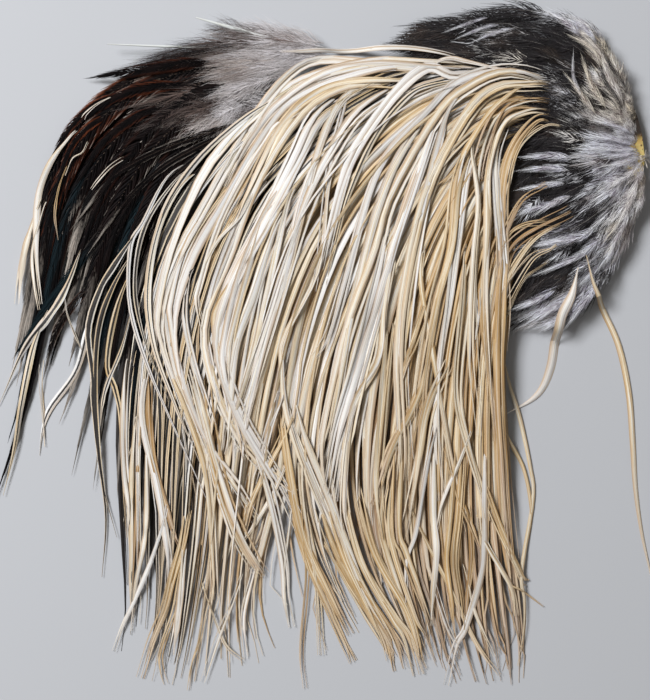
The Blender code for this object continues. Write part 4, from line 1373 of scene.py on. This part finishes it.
TIP_LOCKS = [
    (1.3, -0.05, 0, 1, 0, [(128, 350), (124, 380), (122, 436), (124, 478), (128, 509), (127, 538)]),
    (1.2, 0.15, 0, 1, 0, [(136, 400), (131, 480), (131, 543), (130, 584), (130, 616)]),
    (0.9, 0.60, 0, 1, 0, [(142, 410), (138, 460), (136, 510), (131, 601)]),
    (1.1, 0.10, 0, 1, 0, [(146, 420), (146, 510), (143, 546), (135, 586), (130, 632)]),
    (1.3, 0.00, 0, 1, 0, [(150, 350), (141, 415), (156, 485), (162, 520), (168, 562), (166, 596)]),
    (1.0, 0.60, 0, 2, 3, [(148, 360), (152, 450), (171, 520), (180, 546)]),
    (1.1, -0.10, 0, 1, 0, [(168, 490), (163, 523), (150, 563), (135, 599), (123, 626), (114, 653)]),
    (0.9, 0.40, 0, 3, 5, [(190, 500), (183, 543), (174, 576), (166, 609), (153, 642), (142, 680)]),
    (0.6, 0.40, 0, 1, 0, [(184, 580), (176, 609), (166, 634), (159, 656), (160, 674), (163, 686)]),
    (1.4, 0.00, 0, 2, 4, [(184, 540), (181, 576), (176, 626), (173, 656)]),
    (0.6, 0.40, 0, 1, 0, [(204, 610), (198, 642), (191, 667), (189, 692)]),
    (0.7, 0.00, 0, 1, 0, [(244, 570), (234, 601), (219, 639), (204, 684)]),
    (0.7, 0.10, 0, 1, 0, [(200, 580), (209, 605), (217, 626), (227, 647), (244, 661)]),
    (0.9, -0.05, 0, 1, 0, [(262, 540), (254, 573), (244, 617), (247, 660)]),
    (1.3, 0.20, 0, 2, 4, [(160, 350), (187, 412), (207, 478), (214, 560), (216, 600)]),
    (1.3, 0.10, 0, 2, 4, [(186, 350), (203, 415), (218, 471), (239, 534), (263, 575)]),
    (1.1, 0.45, 0, 2, 4, [(200, 360), (207, 423), (224, 499), (250, 556), (264, 577)]),
    (0.9, 0.05, 0, 1, 0, [(200, 420), (220, 462), (238, 489), (258, 518)]),
    (1.0, 0.00, 0, 2, 3, [(250, 430), (269, 495), (281, 560), (283, 599), (287, 629)]),
    (0.9, 0.00, 0, 1, 0, [(296, 470), (294, 499), (284, 566), (282, 593)]),
    (0.6, 0.50, 0, 1, 0, [(300, 490), (303, 531), (306, 576), (300, 651), (303, 690)]),
    (1.1, 0.45, 0, 2, 3, [(294, 410), (287, 433), (271, 464), (255, 499), (246, 531)]),
    (1.0, -0.05, 0, 2, 4, [(288, 380), (283, 398), (271, 429), (256, 484)]),
    (0.9, 0.10, 0, 1, 0, [(292, 448), (276, 487), (256, 522), (243, 540)]),
    (1.3, 0.42, 0, 3, 6, [(284, 400), (294, 478), (307, 541), (333, 599), (350, 636)]),
    (1.2, 0.10, 0, 3, 6, [(288, 390), (302, 440), (330, 510), (362, 592), (385, 630)]),
    (0.9, 0.20, 0, 2, 4, [(298, 450), (300, 493), (308, 536), (317, 586), (322, 656)]),
    (1.1, 0.30, 0, 3, 6, [(294, 490), (310, 553), (320, 579), (345, 634), (358, 661)]),
    (1.1, 0.30, 0, 3, 6, [(318, 490), (338, 553), (366, 609), (383, 640), (392, 660)]),
    (1.0, 0.45, 0, 4, 8, [(322, 530), (355, 586), (390, 636), (401, 671)]),
    (1.2, 0.25, 0, 3, 6, [(344, 490), (361, 559), (393, 617), (406, 639), (416, 677)]),
    (1.1, 0.35, 0, 2, 5, [(358, 480), (375, 551), (406, 609), (416, 642), (419, 662)]),
    (1.1, 0.30, 0, 2, 5, [(390, 460), (385, 518), (391, 553), (413, 617), (424, 636)]),
    (1.2, 0.35, 0, 2, 5, [(402, 420), (398, 523), (406, 553), (419, 589), (431, 622)]),
    (1.1, 0.35, 0, 1, 0, [(408, 500), (419, 526), (449, 586), (476, 644), (499, 677)]),
    (1.6, 0.10, 0, 1, 0, [(434, 430), (433, 510), (436, 553), (433, 593), (431, 626)]),
    (1.2, -0.12, 0, 1, 0, [(440, 410), (428, 460), (416, 530), (406, 563), (406, 609)]),
    (0.8, -0.05, 0, 1, 0, [(430, 576), (438, 602), (446, 626), (457, 649)]),
    (0.9, 0.42, 0, 1, 0, [(443, 430), (459, 493), (472, 526), (482, 553)]),
    (1.1, 0.40, 0, 2, 5, [(460, 430), (454, 510), (449, 560), (454, 601), (457, 631)]),
    (1.1, 0.50, 0, 1, 0, [(464, 490), (471, 551), (467, 601), (466, 626)]),
    (0.8, 0.15, 0, 1, 0, [(462, 560), (469, 586), (476, 614), (496, 657)]),
    (1.6, -0.05, 0, 1, 0, [(484, 430), (484, 501), (484, 546), (481, 576), (467, 627), (457, 647),
        (449, 687)]),
    (0.9, 0.35, 0, 2, 3, [(480, 470), (499, 523), (521, 573), (530, 581)]),
    (0.9, 0.20, 0, 3, 4, [(476, 510), (482, 540), (511, 586), (519, 616)]),
    (0.7, 0.40, 0, 1, 0, [(496, 560), (509, 583), (522, 591), (544, 608)]),
]
TAG_FIBRES = [
    # the frayed tag at the bare tip
    (0.35, -0.10, 0, 3, 2, [(638, 158), (644, 157), (649, 153)]),
    (0.35, -0.10, 0, 3, 2, [(638, 159), (645, 160), (650, 164)]),
]
EDGE_BLADES = [
    # pale blades among the dark side feathers
    (1.7, 0.00, 0, 1, 0, [(80, 125), (66, 142), (50, 164), (39, 192), (36, 228), (37, 262), (42, 304)]),
    (1.5, 0.12, 0, 1, 0, [(44, 190), (34, 218), (25, 246), (20, 276), (18, 304)]),
    (0.8, 0.15, 0, 1, 0, [(48, 196), (40, 220), (32, 252), (34, 286), (38, 310)]),
    (1.8, 0.02, 0.6, 1, 0, [(84, 240), (73, 272), (61, 298), (46, 320), (31, 338), (17, 362), (-3, 406)]),
    (1.8, 0.10, 0.4, 1, 0, [(52, 300), (40, 328), (31, 355), (20, 408), (14, 447), (2, 496)]),
    (1.5, 0.00, 0.5, 1, 0, [(104, 270), (94, 306), (86, 335), (75, 372), (49, 408), (41, 431), (38, 456)]),
    (0.8, 0.05, 0.5, 1, 0, [(64, 290), (67, 313), (75, 335), (81, 350)]),
    (0.8, 0.05, 0, 1, 0, [(42, 360), (41, 390), (42, 416), (43, 447)]),
    (1.6, 0.12, 1, 1, 0, [(150, 216), (132, 240), (113, 268), (100, 290), (88, 330), (93, 378), (93, 408),
        (101, 480), (116, 538)]),
    (1.4, 0.30, 1, 1, 0, [(144, 236), (113, 287), (98, 332), (95, 393), (98, 450), (105, 518), (101, 578)]),
    (1.5, 0.30, 0.6, 1, 0, [(140, 252), (118, 304), (107, 362), (115, 390), (121, 424), (124, 500),
        (126, 540)]),
    (1.0, 0.02, 0.5, 1, 0, [(134, 300), (122, 347), (107, 384), (102, 405), (100, 426)]),
    (0.4, 0.05, 0, 1, 0, [(116, 96), (98, 104), (86, 113), (82, 118)]),
    (0.4, 0.05, 0, 1, 0, [(89, 139), (83, 152), (73, 159), (66, 176)]),
    (0.5, 0.00, 0, 1, 0, [(128, 158), (112, 168), (100, 180), (92, 190)]),
    (0.7, 0.45, 0.6, 1, 0, [(70, 160), (60, 186), (55, 214), (58, 240)]),
]

lock_rows = {
    "saddle_hackles_far_locks": FAR_LOCKS, "saddle_hackles_near_locks": NEAR_LOCKS,
    "saddle_hackles_tip_locks": TIP_LOCKS, "side_feather_edges": EDGE_BLADES, "skin_tag": TAG_FIBRES,
}
print("locks drawn:", {name: len(rows) for name, rows in lock_rows.items()})

# %% [markdown]
# ## A map of heights
# A real lock lies on whatever it crosses. The drawn routes have no heights of their own, so the highest
# point of what is laid already is noted for each small square of the table, and read along a route. That
# is much quicker than letting each hackle drop, and none of them sinks in.

# %% Rest on what is there
SQUARE = 0.0020
SQUARES = 170
LOCK_STATIONS = 32
LOCK_TUCK = 0.0060
LOCK_LOWEST = 0.0004
LOCK_LEVELS = (0.0002, 0.0011)
LOCK_FINE = 0.42
LOCK_FINE_SPREAD = 5
LOCK_TAPER = 0.034


def tops_of(pieces):
    """The height of the pieces' highest point in each small square of the table, evened out a little."""
    tops = np.zeros((SQUARES, SQUARES))
    for piece in pieces:
        spots = np.empty(3 * len(piece.data.vertices))
        piece.data.vertices.foreach_get("co", spots)
        spots = spots.reshape(-1, 3)
        column, row = (spots[:, :2] / SQUARE + SQUARES / 2).astype(int).clip(0, SQUARES - 1).T
        np.maximum.at(tops, (column, row), spots[:, 2])
    for widen in (True, False, False):
        beside = [np.roll(tops, shift, axis) for axis in (0, 1) for shift in (-1, 1)]
        tops = np.max([tops, *beside], axis=0) if widen else 0.4 * tops + 0.15 * sum(beside)
    return tops


def top_at(tops, spots):
    """The height of the map at places on the table."""
    place = spots / SQUARE + SQUARES / 2 - 0.5
    first = np.floor(place).astype(int).clip(0, SQUARES - 2)
    (u, v), (column, row) = np.moveaxis(place - first, -1, 0), np.moveaxis(first, -1, 0)
    left = tops[column, row] * (1 - v) + tops[column, row + 1] * v
    right = tops[column + 1, row] * (1 - v) + tops[column + 1, row + 1] * v
    return left * (1 - u) + right * u


def blade_point(share):
    """How a drawn blade narrows over its outer half."""
    return 1 - eased(share, 0.5, 1.03) ** 1.4


def lay_locks(chance, rows, tops):
    """Rings and values of hackles that follow the locks' routes and lie on what is there already."""
    lines, numbers = [], []
    share = np.linspace(0, 1, LOCK_STATIONS)
    for half, gold, dark, count, spread, route in rows:
        line = curve_at(on_table(route), share)
        right = rightward(line)
        fine = 0 if dark else count
        for size, reach in [(1.0, spread)] * count + [(LOCK_FINE, spread + LOCK_FINE_SPREAD)] * fine:
            first, last = chance.uniform(-reach, reach, 2) * GRID_STEP
            lines.append(line + right * (first + (last - first) * share)[:, None])
            numbers.append((MILLIMETRE * half * size, gold, dark))
    lines, numbers = np.array(lines), np.array(numbers)
    half, gold, dark = numbers.T[..., None]
    draw = drawer(chance, len(lines))
    under = extended(top_at(tops, lines).T).T
    height = 0.25 * under[:, :-2] + 0.5 * under[:, 1:-1] + 0.25 * under[:, 2:] + draw(*LOCK_LEVELS)
    height = np.maximum(height - LOCK_TUCK * (1 - eased(share, -0.04, 0.11)), LOCK_LOWEST)
    paths = np.concatenate([lines, height[..., None]], -1)
    taper = 0.08 + 0.92 * eased(lengths(paths), 0.001, LOCK_TAPER)
    width = half * draw(0.72, 0.94) * taper * blade_point(share)
    width = width * (1 + 0.12 * waves(draw, share, 2, 5)) + BLADE_THINNEST
    roll = draw(-0.15, 0.15) + draw(0.08, 0.32) * waves(draw, share, 0.6, 1.8)
    values = {
        "across": np.where(draw(0, 1) < 0.75, 1.0, -1.0)[..., None] * BLADE_ACROSS,
        "along": share[None, :, None],
        "run": 1000 * lengths(paths)[..., None],
        "tint": draw(0, 1)[..., None],
        "gold": (gold + draw(-0.08, 0.10) + 0.08 * eased(share, 0.6, 0.95))[..., None],
        "dark": dark[..., None],
    }
    return blades(paths, width, draw(0.08, 0.30), roll), values


# %% [markdown]
# ## Feathers drawn by eye
# A few barbed feathers stand out from their fans: pale and black ones over the rump, and dark ones
# with pale edges at the left. They make the pattern that an eye looks for, and chance wouldn't place
# them there, so they too follow drawn routes and lie on the map of heights.

# %% Lay the drawn feathers
RUMP_FEATHERS = [
    # half width in mm, cream, black, route from root to tip
    (1.8, 0.1, -0.6, [(582, 40), (572, 31), (562, 23), (549, 16)]),
    (1.4, 0.0, -0.6, [(596, 46), (588, 36), (578, 28), (568, 23)]),
    (1.6, 0.6, -0.6, [(612, 84), (604, 66), (596, 52), (584, 40)]),
    (1.5, 0.7, -0.6, [(600, 72), (594, 58), (584, 46), (572, 40)]),
    (0.8, 0.1, -0.6, [(584, 106), (576, 92), (571, 78), (571, 62)]),
    (1.5, 0.8, -0.6, [(606, 112), (596, 98), (588, 84), (582, 66)]),
    (1.4, 0.7, -0.6, [(596, 118), (586, 106), (576, 92), (568, 82)]),
    (1.6, 0.5, -0.6, [(622, 106), (614, 92), (606, 80), (601, 64)]),
    (1.0, 0.0, -0.6, [(634, 136), (622, 131), (610, 127), (598, 124)]),
    (1.0, 0.0, -0.6, [(638, 147), (626, 144), (612, 141), (598, 140)]),
    (1.5, 0.0, -0.6, [(642, 150), (630, 151), (616, 151), (600, 151)]),
    (1.5, 0.1, -0.6, [(643, 156), (632, 160), (620, 164), (606, 167)]),
    (1.5, 0.2, -0.6, [(643, 160), (635, 168), (626, 176), (614, 184)]),
    (1.2, 0.3, -0.6, [(644, 162), (639, 172), (634, 184), (626, 196)]),
    (1.8, 0.0, -0.6, [(574, 160), (560, 158), (545, 157), (526, 158)]),
    (1.5, 0.0, -0.6, [(570, 172), (556, 170), (542, 169), (524, 171)]),
    (1.4, 0.0, -0.6, [(566, 184), (552, 185), (538, 187), (522, 190)]),
    (1.5, 0.0, -0.6, [(560, 204), (546, 206), (534, 209), (519, 214)]),
    (1.5, 0.1, -0.6, [(574, 196), (560, 200), (548, 206), (536, 214)]),
    (2.2, 0.0, -0.6, [(596, 226), (580, 237), (562, 242), (533, 246)]),
    (1.6, 0.0, -0.6, [(600, 238), (584, 252), (566, 262), (542, 272)]),
    (2.0, 0.0, -0.6, [(574, 288), (562, 300), (548, 310), (528, 322)]),
    (2.0, 0.0, -0.6, [(584, 290), (574, 304), (562, 316), (548, 326)]),
    (1.8, 0.0, -0.6, [(560, 284), (546, 294), (532, 302), (516, 308)]),
    (1.8, 0.0, -0.6, [(598, 276), (590, 292), (580, 306), (570, 320)]),
    (1.8, 0.4, -0.6, [(636, 178), (632, 192), (624, 208), (616, 224)]),
    (1.6, 0.2, -0.6, [(628, 206), (622, 222), (614, 238), (608, 252)]),
    (0.9, 0.0, 0.1, [(500, 26), (488, 28), (476, 32), (462, 38)]),
    (0.8, 0.0, 0.1, [(516, 30), (504, 32), (490, 36), (476, 42)]),
    (0.8, 0.0, 0.1, [(490, 18), (478, 22), (466, 26), (450, 32)]),
    (1.4, 0.0, -0.6, [(644, 154), (634, 155), (622, 156), (608, 158)]),
    (1.8, 0.0, 1.0, [(598, 212), (584, 222), (570, 230), (550, 236)]),
    (1.6, 0.0, 1.0, [(588, 234), (572, 243), (556, 250), (538, 257)]),
    (1.3, 0.0, 1.0, [(614, 194), (603, 203), (592, 210), (580, 215)]),
    (1.4, 0.0, 0.9, [(606, 246), (596, 260), (585, 271), (573, 280)]),
    (1.2, 0.0, 0.9, [(624, 212), (618, 226), (610, 238), (601, 249)]),
    (1.0, 0.0, 0.8, [(616, 132), (604, 129), (592, 127), (578, 127)]),
    (1.1, 0.3, 0.8, [(622, 112), (613, 99), (605, 88), (599, 74)]),
    (1.1, 0.3, 0.8, [(628, 100), (620, 86), (611, 72), (602, 58)]),
    (1.3, 0.0, 0.9, [(590, 262), (576, 274), (562, 284), (546, 292)]),
    (1.3, 0.0, 1.0, [(582, 76), (569, 73), (556, 72), (540, 73)]),
    (1.3, 0.2, 0.9, [(584, 88), (572, 86), (560, 86), (544, 88)]),
    (1.3, 0.0, 1.0, [(586, 98), (574, 98), (562, 99), (546, 102)]),
    (1.2, 0.2, 0.9, [(588, 109), (577, 110), (566, 112), (551, 116)]),
    (1.2, 0.0, 1.0, [(590, 120), (580, 122), (569, 125), (556, 131)]),
]
DARK_FEATHERS = [
    # half width in mm, pale edge, red edge, tint, route from root to tip
    (3.2, 0.0, 0.2, 0.2, [(214, 62), (176, 66), (132, 73), (95, 77)]),
    (3.0, 0.0, 0.5, 0.3, [(196, 86), (154, 88), (116, 98), (84, 120)]),
    (2.4, 0.2, 1.0, 0.3, [(126, 92), (94, 106), (68, 130), (50, 164)]),
    (2.0, 0.0, 0.9, 0.4, [(116, 112), (88, 128), (70, 150), (58, 184)]),
    (2.6, 0.0, 0.3, 0.2, [(170, 104), (132, 120), (100, 146), (80, 180)]),
    (1.9, 0.65, 0.0, 0.3, [(240, 122), (196, 138), (154, 154), (112, 178), (84, 212)]),
    (1.7, 0.65, 0.0, 0.5, [(242, 128), (202, 146), (160, 170), (124, 204), (98, 240)]),
    (1.7, 0.6, 0.0, 0.4, [(238, 136), (202, 156), (170, 182), (144, 216), (126, 254)]),
    (1.6, 0.65, 0.0, 0.5, [(226, 150), (196, 172), (170, 206), (150, 246), (140, 286)]),
    (2.6, 0.0, 0.1, 0.3, [(150, 142), (118, 170), (96, 208), (82, 250)]),
    (2.8, 0.0, 0.0, 0.5, [(158, 168), (132, 200), (112, 240), (98, 290)]),
    (2.6, 0.1, 0.0, 0.99, [(118, 212), (94, 244), (68, 276), (40, 312)]),
    (2.4, 0.1, 0.0, 0.97, [(88, 262), (64, 290), (42, 314), (18, 350)]),
    (2.2, 0.5, 0.2, 0.4, [(96, 280), (72, 306), (54, 334), (44, 372)]),
]
DRAWN_STATIONS = 14
DRAWN_LIFT = 0.0004
DRAWN_TUCK = 0.0030
DRAWN_LOWEST = 0.0005
DRAWN_RUMP_SHAFT = 0.04
DRAWN_RUMP_VANE = RUMP_VANE | dict(barbs=26, sweep=0.40, cover=1.1, fluff=0.0006, fold=0.2)
DRAWN_SIDE_VANE = SIDE_VANE | dict(barbs=56, sweep=0.16, cover=1.5, fray=0.14)


def columns(rows):
    """The numbers in the rows of a table, one array for each column, without the routes."""
    return np.array([row[:-1] for row in rows]).T


def drawn_paths(rows, tops):
    """Paths along drawn routes, on top of what is there, with their roots tucked in."""
    share = np.linspace(0, 1, DRAWN_STATIONS)
    lines = np.array([curve_at(on_table(row[-1]), share) for row in rows])
    height = top_at(tops, lines) + DRAWN_LIFT - DRAWN_TUCK * (1 - eased(share, -0.05, 0.25))
    return np.concatenate([lines, np.maximum(height, DRAWN_LOWEST)[..., None]], -1)


laid = [*saddle_pieces.values(), side_piece, down_piece, *rump_pieces]
tops = tops_of(laid)
chance = np.random.default_rng(65)
half, cream, black = columns(RUMP_FEATHERS)
paths = drawn_paths(RUMP_FEATHERS, tops)
rump_pieces.append(feather_piece(
    "rump_feathers_drawn", plumes(chance, paths, MILLIMETRE * half, **DRAWN_RUMP_VANE),
    shafts(paths, MILLIMETRE * half * DRAWN_RUMP_SHAFT),
    {"tint": chance.uniform(0, 0.7, len(half)), "dark": black, "cream": cream},
    rump_material,
))
half, pale, red, tint = columns(DARK_FEATHERS)
paths = drawn_paths(DARK_FEATHERS, tops)
side_drawn = feather_piece(
    "side_feathers_drawn", plumes(chance, paths, MILLIMETRE * half, **DRAWN_SIDE_VANE),
    shafts(paths, MILLIMETRE * half * SIDE_SHAFT),
    {"pale": pale, "red": red, "tint": tint},
    side_material,
)

# %% [markdown]
# ## Locks laid last
# On the real cape the top hackles lie over every other feather. So the locks wait until the feathers
# below them are laid, and rest on a new map of heights that has those too.

# %% Lay the locks on the map
laid += [side_drawn, rump_pieces[-1]]
tops = tops_of(laid)
chance = np.random.default_rng(71)
lock_pieces = {
    name: join_tubes(name, [lay_locks(chance, rows, tops)], hackle_material)
    for name, rows in lock_rows.items()
}
print("highest square in mm:", round(1000 * tops.max(), 1))

# %% [markdown]
# ## Loose hackles
# Two hackles stand apart at the near edge, a short wide one and a long thin one. Each is the same folded
# blade as the others, but it has its own route, since no fan or lock carries it.

# %% Lay the loose hackles
LOOSE_HACKLES = {
    "loose_hackle_1": dict(
        route=[(576, 268), (570, 294), (560, 316), (556, 340),
               (552, 366), (543, 389), (528, 403), (503, 415)],
        half=0.0020, gold=-0.04),
    "loose_hackle_2": dict(
        route=[(584, 256), (592, 286), (606, 314), (620, 346), (630, 392),
               (634, 440), (637, 488), (643, 532), (652, 574), (658, 606)],
        half=0.0012, gold=0.22),
}
LOOSE_STATIONS = 40
LOOSE_LIFT = 0.0004
LOOSE_THINNEST = 0.00007
LOOSE_FOLD = 0.35


def loose_blade(chance, tops, route, half, gold):
    """Rings and values of one blade along its own route."""
    share = np.linspace(0, 1, LOOSE_STATIONS)[None, :]
    line = curve_at(on_table(route), share)
    paths = np.concatenate([line, (top_at(tops, line) + LOOSE_LIFT)[..., None]], -1)
    width = half * (0.10 + 0.90 * eased(share, 0.0, 0.22)) * blade_point(share) + LOOSE_THINNEST
    draw = drawer(chance, 1)
    roll = 0.25 * waves(draw, share, 0.6, 1.3)
    values = {
        "across": BLADE_ACROSS,
        "along": share[..., None],
        "run": 1000 * lengths(paths)[..., None],
        "tint": draw(0, 1)[..., None],
        "gold": gold,
        "dark": 0.0,
    }
    return blades(paths, width, LOOSE_FOLD, roll), values


chance = np.random.default_rng(61)
loose_pieces = {
    name: join_tubes(name, [loose_blade(chance, tops, **strand)], hackle_material)
    for name, strand in LOOSE_HACKLES.items()
}

# %% [markdown]
# ## On the frame
# Each piece rides on the part's single body, and the solids that it stands for are hidden. The name
# of its finish is printed with the count of those solids.

# %% Put the pieces on the frame
def cad_nodes(start):
    """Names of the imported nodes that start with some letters."""
    return [name for name in sorted(frame["nodes"]) if name.startswith(start)]


def settle(piece, slot, *nodes):
    """Puts a piece on the body, hides the solids that it stands for, and prints the name of its finish."""
    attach(piece, "root")
    if nodes:
        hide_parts(*nodes)
    print(f"{piece.name}: {slot}, for {len(nodes)} solids")


settle(skin_piece, "dried_skin", "skin")
settle(saddle_pieces["saddle_hackles_low"], "saddle_hackle", *cad_nodes("saddle_hackles_under"))
settle(saddle_pieces["saddle_hackles_middle"], "saddle_hackle", *cad_nodes("saddle_hackles_under"))
settle(saddle_pieces["saddle_hackles_top"], "saddle_hackle", *cad_nodes("saddle_hackles_over"))
settle(saddle_pieces["saddle_hackles_fine"], "saddle_hackle", *cad_nodes("saddle_hackles_over"))
for name, piece in lock_pieces.items():
    if name == "skin_tag":
        settle(piece, "dried_skin", "skin")
    elif name == "side_feather_edges":
        settle(piece, "side_feather", *cad_nodes("side_feather"))
    else:
        settle(piece, "saddle_hackle", *cad_nodes("saddle_hackles_over"))
for piece in (side_piece, side_drawn):
    settle(piece, "side_feather", *cad_nodes("side_feather"))
for row, piece in enumerate(rump_pieces):
    settle(piece, "rump_feather", *cad_nodes(f"rump_feather_{min(row + 1, len(RUMP_ROWS))}"))
settle(down_piece, "down", *cad_nodes("down_tuft"))
for number, piece in enumerate(quill_pieces):
    settle(piece, "quill", f"pin_quill_{number + 1}")
for name, piece in loose_pieces.items():
    settle(piece, "saddle_hackle", name)

# %% [markdown]
# ## Size
# The box of the dressed part is printed in millimetres, with the number of triangles in all.

# %% Sizes and finish
low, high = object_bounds()
triangles = sum(
    len(face.vertices) - 2
    for made in bpy.data.objects if made.type == "MESH" and made.name not in frame["nodes"]
    for face in made.data.polygons
)
print("triangles in all:", triangles)
print("dressed box in mm:", [round(1000 * (b - a), 1) for a, b in zip(low, high)])
